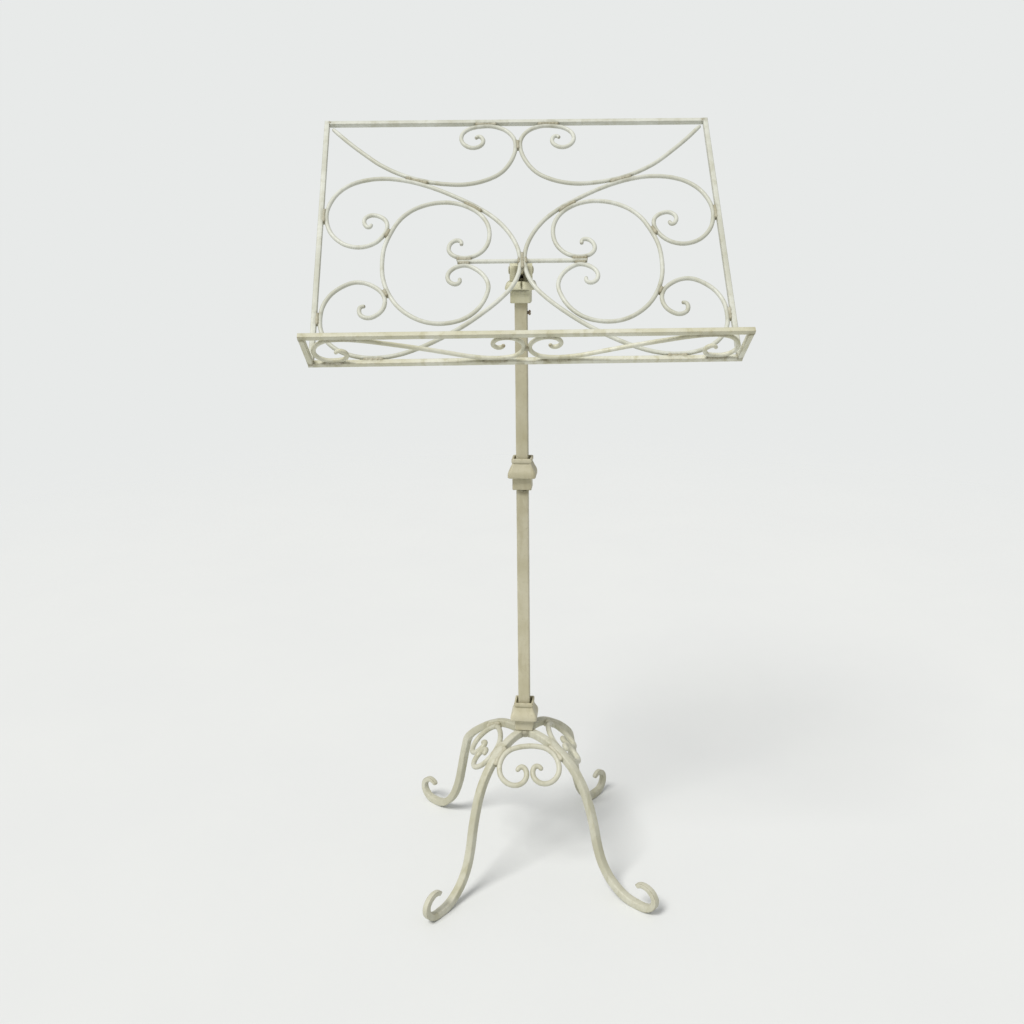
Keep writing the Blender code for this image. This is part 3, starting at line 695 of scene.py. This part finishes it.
def stacked(name, rings, finish, hollow=False, roughness=0.0, lumps=120.0, sharp=40.0):
    data = bmesh.new()
    loops = [[data.verts.new(point) for point in ring] for ring in rings]
    pairs = list(zip(loops, loops[1:]))
    if hollow:
        pairs.append((loops[-1], loops[0]))
    for lower, upper in pairs:
        for i in range(len(lower)):
            j = (i + 1) % len(lower)
            data.faces.new((lower[i], lower[j], upper[j], upper[i]))
    if not hollow:
        data.faces.new(loops[0])
        data.faces.new(loops[-1])
    bmesh.ops.recalc_face_normals(data, faces=data.faces[:])
    if roughness:
        data.normal_update()
        shift = Vector((seedOf(name), 0, 0))
        for vertex in data.verts:
            spot = vertex.co * lumps + shift
            height = noise.noise(spot) + 0.5 * noise.noise(spot * 2.3)
            vertex.co += vertex.normal * height * roughness * mm
    mesh = bpy.data.meshes.new(name)
    data.to_mesh(mesh)
    data.free()
    piece = finished(name, mesh, finish)
    piece.data.shade_smooth()
    piece.data.set_sharp_from_angle(angle=math.radians(sharp))
    return piece


def turned(name, profile, centre, axis, sides, finish, **options):
    axis = Vector(axis).normalized()
    helper = Vector((0, 0, 1)) if abs(axis.z) < 0.5 else Vector((0, 1, 0))
    across = axis.cross(helper).normalized()
    other = axis.cross(across)
    rings = []
    for along, radius in profile:
        ring = []
        for i in range(sides):
            angle = 2 * math.pi * (i + 0.5) / sides
            spoke = across * math.cos(angle) + other * math.sin(angle)
            ring.append((Vector(centre) + axis * along + spoke * radius) * mm)
        rings.append(ring)
    return stacked(name, rings, finish, **options)


def carved(piece, cutters, bevel=0.0, segments=3):
    # Cuts the piece with the cutters, softens its edges and leaves a plain mesh
    for cutter in cutters:
        modifier = piece.modifiers.new("cut", "BOOLEAN")
        modifier.operation = "DIFFERENCE"
        modifier.solver = "EXACT"
        modifier.object = cutter
    if bevel:
        soft = piece.modifiers.new("soft", "BEVEL")
        soft.width = bevel * mm
        soft.segments = segments
        soft.limit_method = "ANGLE"
        soft.angle_limit = math.radians(35)
    evaluated = piece.evaluated_get(bpy.context.evaluated_depsgraph_get())
    mesh = bpy.data.meshes.new_from_object(evaluated)
    piece.modifiers.clear()
    piece.data = mesh
    mesh.shade_smooth()
    mesh.set_sharp_from_angle(angle=math.radians(40))
    for cutter in cutters:
        bpy.data.objects.remove(cutter)
    return piece


def plate(name, outline, thickness, finish):
    # An outline of y and z with the same thickness to either side of the middle
    rings = [[Vector((x, y, z)) * mm for y, z in outline] for x in (-thickness / 2, thickness / 2)]
    return stacked(name, rings, finish)


def drilled(name, radius, start, end, centre, axis, sides=32):
    return turned(name, [(start, radius), (end, radius)], centre, axis, sides, finishes["headPaint"])


post = {"side": 15.0, "bore": 11.8, "bottom": 197.0, "top": 771.0, "corner": 1.3, "boreCorner": 0.8,
        "step": 3.0, "roughness": 0.11}
collar = {
    "places": {"base_collar": 192.0, "mid_collar": 527.3}, "topPlace": 759.6, "topHeight": 25.6,
    "corner": 1.8, "insideCorner": 1.2, "rounding": 0.36, "neck": 12.4, "flatSteps": 12, "roughness": 0.16,
    "outside": [
        (11.0, 0.0), (11.6, 0.15), (11.95, 0.7), (12.05, 1.6), (12.05, 4.0), (12.0, 6.5), (12.0, 9.0),
        (12.0, 11.5), (12.05, 14.0), (12.3, 15.1), (13.1, 15.75), (15.0, 15.95), (16.7, 16.1),
        (17.4, 16.45), (17.7, 17.1), (17.7, 18.4), (17.65, 19.8), (17.5, 21.2), (17.15, 22.7),
        (16.6, 24.2), (15.85, 25.7), (15.0, 27.2), (14.2, 28.7), (13.5, 30.2), (12.95, 31.7), (12.6, 32.8),
        (12.3, 33.4), (12.1, 34.1), (12.15, 34.8), (12.5, 35.35), (12.85, 35.9), (12.95, 37.2),
        (12.9, 38.6), (12.8, 39.6), (12.55, 40.25), (12.1, 40.5)],
    "inside": [(11.0, 40.55), (10.4, 40.3), (10.1, 39.5), (10.1, 36.0), (10.1, 33.0), (8.6, 32.9),
               (7.8, 32.3), (7.8, 16.0), (7.8, 0.4), (8.2, 0.0)],
    "topOutside": [
        (11.3, 0.0), (11.9, 0.15), (12.25, 0.7), (12.35, 1.6), (12.3, 5.0), (12.3, 8.5), (12.3, 12.0),
        (12.35, 14.2), (12.7, 15.2), (13.6, 15.8), (15.6, 15.95), (17.3, 16.1), (18.0, 16.5),
        (18.3, 17.2), (18.25, 18.5), (17.95, 20.0), (17.5, 21.5), (17.0, 22.9), (16.4, 24.3),
        (15.7, 25.3), (15.0, 25.6)],
}


# The groove in front of the top collar carries on the line of the head's slot
groove = {"from": 17.0, "depth": 3.6, "runIn": 2.0, "halfWidth": 1.3, "front": -6.0}
stem = {"radius": 5.0, "bottom": 345.0, "spigot": 2.4, "rings": 20, "ringStep": 20.5}
axisY, pivotZ = stance["axisY"], stance["pivotZ"]
standPieces = []


def keepStand(piece, node, *replaced):
    settle(piece, "stand", node, *replaced)
    standPieces.append(piece)


def onPostRing(half, corner, z, *steps):
    return [onPost(*point) for point in cornerRing(half, corner, z, *steps)]


def cast(name, z, outside, inside, finish, grooved=False):
    # Corners are rounder where the casting swells; a groove can run up the front
    rings = []
    for half, height in outside:
        corner = collar["corner"] + max(0.0, half - collar["neck"]) * collar["rounding"]
        ring = onPostRing(half, corner, z + height, 6, collar["flatSteps"])
        if grooved and height > groove["from"]:
            middle = min((point for point in ring if point.y < axisY * mm), key=lambda point: abs(point.x))
            middle.y += groove["depth"] * mm * min(1.0, (height - groove["from"]) / groove["runIn"])
        rings.append(ring)
    rings += [onPostRing(half, corner, z + height, 6, collar["flatSteps"]) for half, height, corner in inside]
    return stacked(name, rings, finishes[finish], hollow=True, roughness=collar["roughness"], sharp=60.0)


for node, z in collar["places"].items():
    inside = [(half, height, collar["insideCorner"]) for half, height in collar["inside"]]
    keepStand(cast(pieceName(node), z, collar["outside"], inside, "postPaint"), node, node)

pocket = post["top"] - collar["topPlace"] + 0.3
bore = stem["radius"] + 0.4
inside = [(bore + 0.3, collar["topHeight"], bore + 0.3), (bore, collar["topHeight"] - 0.3, bore),
          (bore, pocket + 1.2, bore)]
inside += [(half, height, collar["insideCorner"]) for half, height in ((7.8, pocket), (7.8, 0.3), (8.1, 0.0))]
piece = cast("topCollar", collar["topPlace"], collar["topOutside"], inside, "headPaint", grooved=True)
keepStand(piece, "top_collar", "top_collar")

# The tube: rings up the outside, then down the bore
rise = post["top"] - post["bottom"]
count = round(rise / post["step"])
rings = [onPostRing(post["side"] / 2, post["corner"], post["bottom"] + rise * i / count, 4, 5)
         for i in range(count + 1)]
rings += [onPostRing(post["bore"] / 2, post["boreCorner"], z, 4, 5) for z in (post["top"], post["bottom"])]
tube = stacked("postTube", rings, finishes["postPaint"], hollow=True, roughness=post["roughness"], lumps=70.0)
setScrew = {"z": 747.6, "tip": 5.3, "shank": 1.9, "thread": 0.14, "pitch": 0.55, "seat": 9.1,
            "headRadius": 3.15, "headHeight": 2.7, "hole": 2.3, "slot": 0.9, "slotDepth": 0.9}
turn = math.radians(stance["postTurn"])
screwAxis = (math.cos(turn), math.sin(turn), 0.0)
screwPlace = (0.0, axisY, setScrew["z"])
drill = drilled("screwDrill", setScrew["hole"], 3.9, 10.5, screwPlace, screwAxis, 24)
keepStand(carved(tube, [drill]), "post_tube", "post_tube")
print("post and collars cast")

profile = [(setScrew["tip"], 0.8), (setScrew["tip"] + 0.5, 1.5)]
along = setScrew["tip"] + 0.8
ridge = 1.0
while along < setScrew["seat"] - 0.2:
    profile.append((along, setScrew["shank"] + ridge * setScrew["thread"] / 2))
    ridge = -ridge
    along += setScrew["pitch"] / 2
seat, headRadius, headHeight = setScrew["seat"], setScrew["headRadius"], setScrew["headHeight"]
profile.append((seat, 1.85))
# The head's edge, as heights over the seat and how far it lies inside the full radius
headEdge = [(0.0, 0.4), (0.2, 0.05), (0.5, 0.0), (1.4, 0.0), (1.9, 0.15), (2.3, 0.6), (2.6, 1.4),
            (headHeight, 2.4)]
profile += [(seat + height, headRadius - inset) for height, inset in headEdge]
screw = turned("setScrew", profile, screwPlace, screwAxis, 36, finishes["rustyIron"], sharp=35.0)
outwards = Vector(screwAxis)
across = Vector((-screwAxis[1], screwAxis[0], 0)) * 5
upwards = Vector((0, 0, setScrew["slot"] / 2))
screwTop = Vector(screwPlace) + outwards * (seat + headHeight)
slotEnds = [[(screwTop + outwards * height + across * a + upwards * b) * mm
             for a, b in ((-1, -1), (1, -1), (1, 1), (-1, 1))] for height in (-setScrew["slotDepth"], 1.0)]
carved(screw, [stacked("slotCut", slotEnds, finishes["rustyIron"])])
storeWearAndShade(screw, None)
settle(screw, "set_screw", "set_screw", "set_screw")

yokeFloor = collar["topPlace"] + collar["topHeight"] + 0.3
bottom, radius = stem["bottom"], stem["radius"]
profile = [(bottom, radius - 1.0), (bottom + 0.4, radius - 0.35), (bottom + 1.0, radius)]
profile += [(bottom + 1.0 + stem["ringStep"] * i, radius) for i in range(1, stem["rings"] + 1)]
profile += [(yokeFloor - 0.5, radius), (yokeFloor - 0.3, radius - 0.2),
            (yokeFloor - 0.3, stem["spigot"]), (yokeFloor + 2.8, stem["spigot"])]
foot = (0.0, axisY, 0.0)
piece = turned("slidingStem", profile, foot, (0, 0, 1), 40, finishes["dullSteel"])
settle(piece, "stem", "stem", "stem")

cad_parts["guide_bush"].material_slots[0].material = finishes["dullSteel"]

yoke = {"width": 27.0, "radius": 9.0, "slot": 5.2, "bevel": 0.9, "pin": 3.0, "saddle": 7.3, "floor": 3.2,
        "pinHole": 3.3, "spigotHole": 2.7}
pivot = (0.0, axisY, pivotZ)
across = (1, 0, 0)


def roundPivot(radius, angles):
    return [(axisY + radius * math.cos(angle), pivotZ + radius * math.sin(angle))
            for angle in map(math.radians, angles)]


outline = [(axisY + yoke["radius"], yokeFloor)] + roundPivot(yoke["radius"], [7.5 * i for i in range(25)])
outline.append((axisY - yoke["radius"], yokeFloor))
head = plate("headYoke", outline, yoke["width"], finishes["headPaint"])
deep = yoke["radius"] + 2
slotFloor = yokeFloor + yoke["floor"]
box = [(axisY - deep, yokeFloor - 1.0), (axisY - 5.0, yokeFloor - 1.0), (axisY - 5.0, slotFloor),
       (axisY - 0.6, slotFloor)]
box += roundPivot(yoke["saddle"], range(-92, -37, 6))       # a saddle is left behind the tongue's eye
box += [(axisY + deep, box[-1][1] + 0.4), (axisY + deep, pivotZ + 14), (axisY - deep, pivotZ + 14)]
cutters = [plate("slotSaw", box, yoke["slot"], finishes["headPaint"]),
           drilled("pinDrill", yoke["pinHole"], -16, 16, pivot, across),
           drilled("spigotDrill", yoke["spigotHole"], yokeFloor - 2, yokeFloor + 5, foot, (0, 0, 1), 24)]
carved(head, cutters, bevel=yoke["bevel"], segments=4)
settle(head, "head", "head_yoke", "head_yoke")

reach = yoke["width"] / 2 + 0.3
dome = [(0.0, 4.7), (0.35, 4.75), (0.75, 4.4), (1.1, 3.7), (1.4, 2.7), (1.58, 1.5), (1.62, 0.5)]
profile = [(-reach - a, r) for a, r in reversed(dome)] + [(-reach, yoke["pin"]), (reach, yoke["pin"])]
profile += [(reach + a, r) for a, r in dome]
pin = turned("pivotPin", profile, pivot, across, 36, finishes["headPaint"], roughness=0.08, lumps=300.0)
settle(pin, "head", "pivot_pin", "pivot_pin")

tongueShape = {"low": 131.0, "high": 153.0, "eye": 6.5, "thickness": 4.4, "bevel": 0.5}
underside = -scrollRod["radius"]
feet = [onDesk(0, tongueShape[end], underside - 0.3) / mm for end in ("low", "high")]
outline = [(point.y, point.z) for point in feet] + roundPivot(tongueShape["eye"], range(62, -121, -7))
tongue = plate("deskTongue", outline, tongueShape["thickness"], finishes["headPaint"])
carved(tongue, [drilled("eyeDrill", yoke["pinHole"], -5, 5, pivot, across)], bevel=tongueShape["bevel"])
settle(tongue, "desk", "desk_tongue", "desk_tongue")
print("head and stem made")


# ---- the base ----

legBar = {"side": 10.0, "corner": 1.6, "step": 1.6, "hammering": 0.5, "lumps": 60.0, "start": 9.8,
          "flat": 6.0, "curlEnd": 0.6, "tipLength": 3.2, "tipSize": 0.35,
          "curl": [(18.3, 60.0), (27.1, 100.0), (14.7, 80.0)],
          "frontBends": [(5.0, 0.0), (14.0, -16.0), (28.0, -22.0), (34.0, -22.0), (34.0, -14.0),
                         (60.0, -8.0), (32.0, 6.0), (31.0, 16.0), (26.0, 24.0), (21.0, 36.0)],
          "backBends": [(6.0, 0.0), (10.0, -4.0), (26.0, -24.0), (32.0, -10.0), (28.0, -10.0),
                        (16.0, -28.0), (62.0, -2.0), (36.0, 12.0), (30.0, 22.0), (25.0, 44.0)]}
# Azimuth in degrees, distance from the axis to the foot's resting point
legs = {"leg_front_right": (-44.0, 195.0), "leg_back_right": (51.0, 179.0),
        "leg_back_left": (135.5, 186.0), "leg_front_left": (230.5, 182.0)}
# The hub's taper: depths below its top, shares of its radius
hub = {"radius": 9.3, "taper": [(11.0, 0.25), (10.8, 0.42), (10.0, 0.55), (8.5, 0.68), (7.0, 0.8), (5.5, 0.9),
                                (4.0, 0.97), (2.5, 1.0), (0.0, 1.0)]}
hubTop = collar["places"]["base_collar"] - 0.3


def roundAxis(azimuth, out, z, sideways=0.0):
    angle = math.radians(azimuth)
    return Vector((math.cos(angle) * out - math.sin(angle) * sideways,
                   math.sin(angle) * out + math.cos(angle) * sideways + axisY, z)) * mm


basePaths = {}
for node, (azimuth, reachOut) in legs.items():
    bends = legBar["backBends" if "back" in node else "frontBends"]
    rise = hubTop - legBar["side"] / 2
    body = arcs((legBar["start"], 0.0), bends)
    drop = (rise - legBar["side"] / 2) / -body[-1].y
    body = [Vector((point.x, rise + point.y * drop)) for point in body]
    footMiddle = body[-1].x + legBar["flat"] / 2
    sideView = body + arcs(body[-1] + Vector((legBar["flat"], 0.0)), legBar["curl"])
    stretch = (reachOut - legBar["start"]) / (footMiddle - legBar["start"])
    sideView = [Vector((legBar["start"] + (p.x - legBar["start"]) * stretch, p.y)) for p in sideView]
    sideView = fair(sideView, 4)
    points, stops, total = paced(sideView, legBar["step"], ("end",), legBar["tipLength"])
    curlLength = sum(length for length, _ in legBar["curl"]) * stretch
    sizes = []
    for stop in stops:
        past = max(0.0, stop - (total - curlLength)) / curlLength
        size = 1.0 - (1.0 - legBar["curlEnd"]) * past
        left = total - stop
        if left < legBar["tipLength"]:
            size *= legBar["tipSize"] + (1 - legBar["tipSize"]) * tipRound(left, legBar["tipLength"])
        sizes.append(size)
    placed = [roundAxis(azimuth, p.x, p.y) for p in points]
    name = pieceName(node)
    keepStand(bar(name, placed, sizes, legBar, finishes["legPaint"]), node, node)
    basePaths[name] = (placed, legBar["side"] / 2)

profile = [(hubTop - below, hub["radius"] * share) for below, share in hub["taper"]]
piece = turned("hubBlock", profile, foot, (0, 0, 1), 48, finishes["legPaint"], roughness=0.2)
keepStand(piece, "hub_block", "hub_block")

baseRod = {"radius": 3.5, "sides": 20, "step": 1.6, "taperLength": 10.0, "tip": 0.85, "hammering": 0.4,
           "lumps": 110.0, "lean": 47.0, "half": 39.0, "widest": 19.0, "top": 179.5,
           "bends": [(0, -7), (12.5, -6), (25, -2), (34.5, 7), (39, 19), (38, 31), (31, 40.5), (21, 44.5),
                     (11.5, 42.5), (5.2, 35.5), (4.3, 27.5), (8, 21), (14, 22), (16, 27)]}
# Azimuths of the legs on either side, clearance
baseScrolls = {"base_scroll_right": (-44.0, 51.0, 3.7), "base_scroll_left": (135.5, 230.5, 3.7),
               "base_scroll_front": (230.5, 316.0, 3.2)}
bends = baseRod["bends"]
flat = fair(spline([(-u, v) for u, v in reversed(bends[1:])] + bends))
lean = math.radians(baseRod["lean"])
for node, (first, second, clearance) in baseScrolls.items():
    middle = math.radians((first + second) / 2)
    spread = math.radians((second - first) / 2)
    clearOf = legBar["side"] / 2 + baseRod["radius"] + clearance
    widest = (clearOf + baseRod["half"] * math.cos(spread)) / math.sin(spread)
    rho = widest - baseRod["widest"] * math.sin(lean)
    outward = Vector((math.cos(middle), math.sin(middle), 0.0))
    sideways = Vector((-math.sin(middle), math.cos(middle), 0.0))
    downhill = outward * math.sin(lean) + Vector((0.0, 0.0, -math.cos(lean)))
    origin = outward * rho + Vector((0.0, axisY, baseRod["top"]))
    name = pieceName(node)
    piece, placed = rod(name, flat, lambda u, v: (origin + sideways * u + downhill * v) * mm, baseRod,
                        finishes["legPaint"])
    keepStand(piece, node, node)
    basePaths[name] = (placed, baseRod["radius"])
basePaths["hub"] = ([Vector((0.0, axisY, hubTop - z)) * mm for z in (1.0, 3.0, 5.0, 7.0, 9.0)], hub["radius"])
print("base forged:", len(basePaths))


# ---- welds ----

deskWeld = {"bead": 1.6, "bridge": 0.4, "lift": 1.35, "hammering": 0.9, "lumps": 420.0, "seed": 3.0,
            "smallest": 0.8, "largest": 1.22, "voxel": 0.5, "reach": 1.5, "tongueBead": 1.7}
baseWeld = {"bead": 2.3, "bridge": 0.45, "lift": 1.9, "hammering": 1.2, "lumps": 300.0, "seed": 6.0,
            "smallest": 0.85, "largest": 1.2, "voxel": 0.7, "reach": 2.6,
            "hubBead": 1.9, "legBead": 1.6, "frontBead": 1.3, "sideBead": 1.2}
deskSpots = weldSpots(deskPaths, deskWeld["reach"])
# The tongue's foot is welded across the two middle bends
tongueBeads = [(onDesk(u, 131.5 + 21.0 * i / 8, underside - 0.2), deskWeld["tongueBead"])
               for i in range(9) for u in (-2.6, 2.6)]
piece = weldPiece("deskWelds", deskSpots, deskWeld, tongueBeads)
settle(piece, "desk", "main_scroll_left")
deskPieces += [piece, tongue]

baseSpots = weldSpots(basePaths, baseWeld["reach"])
# Weld fills the corners between the legs and thins out below
standBeads = [(roundAxis(7.5 * i, hub["radius"] * share + 1.2, hubTop - below), baseWeld["hubBead"])
              for i in range(48) for below, share in hub["taper"][2:-1]]
underLeg = [(10.6, 9.6), (9.2, 9.0), (7.8, 8.4)]
standBeads += [(roundAxis(azimuth, out, hubTop - below, 1.3 * i), baseWeld["legBead"])
               for azimuth, _ in legs.values() for i in range(-2, 3) for out, below in underLeg]
# A run of weld under the middle collar, over the front and round to the right
face, underCollar = post["side"] / 2, collar["places"]["mid_collar"]
for i in range(15):
    sag = 2.0 * math.sin(math.pi * i / 14)
    spot = onPost(-2.0 + 9.5 * i / 14, -face - 0.4, underCollar - 0.6 - sag)
    standBeads.append((spot, baseWeld["frontBead"]))
standBeads += [(onPost(face + 0.3, -6.0 + 11.0 * i / 8, underCollar - 0.7), baseWeld["sideBead"])
               for i in range(9)]
keepStand(weldPiece("standWelds", baseSpots, baseWeld, standBeads), "hub_block")
print("weld beads laid:", len(deskSpots), len(baseSpots))

deskSeams = treeOf([spot[0] for spot in deskSpots])
standSeams = treeOf([spot[0] for spot in baseSpots + standBeads])


# Where pages are set down: middle and width of each patch in millimetres, and how far it is rubbed
rubbedPatches = [(12.0, 60.0, 0.45), (-150.0, 50.0, 0.2)]


def handled(x, y, z):
    # The bottom rail is rubbed to the brown undercoat
    return sum(share * math.exp(-((x / mm - middle) / width) ** 2) for middle, width, share in rubbedPatches)


def grooveShade(x, y, z):
    # Painted shade in the groove of the top collar
    inside = y < (axisY + groove["front"]) * mm and z > (collar["topPlace"] + groove["from"] + 0.2) * mm
    return 1.0 if inside and abs(x) < groove["halfWidth"] * mm else 0.0


def slotShade(x, y, z):
    # Painted shade in the head's slot
    return 1.0 if abs(x) < (yoke["slot"] / 2 + 0.4) * mm and z < (pivotZ + 5.0) * mm else 0.0


for piece in deskPieces:
    storeWearAndShade(piece, deskSeams, extraRub=handled if piece.name == "deskBottomRail" else None)
for piece in standPieces:
    storeWearAndShade(piece, standSeams, extraShade=grooveShade if piece.name == "topCollar" else None)
storeWearAndShade(head, None, extraShade=slotShade)
storeWearAndShade(pin, None)
print("wear stored on", len(deskPieces) + len(standPieces) + 2, "pieces")


# ---- studio ----

studio = {"floor": tone(227, 229, 228), "patches": tone(224, 226, 226), "room": tone(232, 234, 233),
          "fill": 0.5, "sunStrength": 2.3, "sunSpread": 22.0, "sunFrom": (-1.15, -1.35, 2.5),
          "sunColour": (1.0, 0.985, 0.96), "floorRadius": 3.4, "fadeFrom": 1.2, "fadeTo": 3.2}
scene = bpy.context.scene
scene.view_settings.view_transform = "Standard"
world = bpy.data.worlds.new("room")
world.use_nodes = True
tree = world.node_tree
backdrop = tree.nodes["Background"]      # what is seen behind the stand
backdrop.inputs["Color"].default_value = studio["room"]
fill = addNode(tree, "ShaderNodeBackground", {"Color": (1.0, 1.0, 1.0, 1.0), "Strength": studio["fill"]})
seen = addNode(tree, "ShaderNodeLightPath").outputs["Is Camera Ray"]
sky = addNode(tree, "ShaderNodeMixShader", {0: seen, 1: fill.outputs[0], 2: backdrop.outputs[0]})
tree.links.new(sky.outputs[0], tree.nodes["World Output"].inputs["Surface"])
scene.world = world

sun = bpy.data.lights.new("softKey", "SUN")
sun.energy = studio["sunStrength"]
sun.angle = math.radians(studio["sunSpread"])
sun.color = studio["sunColour"]
lamp = bpy.data.objects.new("softKey", sun)
lamp.rotation_euler = Vector(studio["sunFrom"]).to_track_quat("Z", "Y").to_euler()
scene.collection.objects.link(lamp)

floorMaterial, tree, shader, place = newMaterial("paleFloor")
far = addNode(tree, "ShaderNodeVectorMath", {0: place}, operation="LENGTH").outputs["Value"]
cloud = pattern(tree, place, 3.0, 5.0, 0.6)
tree.links.new(blendColour(tree, ramp(tree, cloud, 0.3, 0.7, 0.5), studio["floor"], studio["patches"]),
               shader.inputs["Base Color"])
shader.inputs["Roughness"].default_value = 0.8
shader.inputs["Specular IOR Level"].default_value = 0.1
# The floor fades into the room
tree.links.new(ramp(tree, far, studio["fadeFrom"], studio["fadeTo"], 0.0, 1.0), shader.inputs["Alpha"])
data = bmesh.new()
bmesh.ops.create_circle(data, cap_ends=True, segments=96, radius=studio["floorRadius"])
floorMesh = bpy.data.meshes.new("floor")
data.to_mesh(floorMesh)
data.free()
floorMesh.materials.append(floorMaterial)
floor = bpy.data.objects.new("floor", floorMesh)
scene.collection.objects.link(floor)

view = {"place": (-0.0460, -1.2923, 0.8702), "yaw": 1.41, "pitch": 16.02, "roll": 0.63, "lens": 37.267}
yaw, pitch, roll = (math.radians(view[key]) for key in ("yaw", "pitch", "roll"))
ahead = Vector((math.sin(yaw) * math.cos(pitch), math.cos(yaw) * math.cos(pitch), -math.sin(pitch)))
right = Vector((math.cos(yaw), -math.sin(yaw), 0.0))
down = ahead.cross(right)
rightRolled = right * math.cos(roll) + down * math.sin(roll)
downRolled = down * math.cos(roll) - right * math.sin(roll)
camera = bpy.data.objects.new("camera", bpy.data.cameras.new("camera"))
camera.data.lens = view["lens"]
camera.data.sensor_width = 36.0
facing = Matrix((rightRolled, -downRolled, -ahead)).transposed()
camera.matrix_world = Matrix.Translation(view["place"]) @ facing.to_4x4()
scene.collection.objects.link(camera)
scene.camera = camera
print("studio lit")
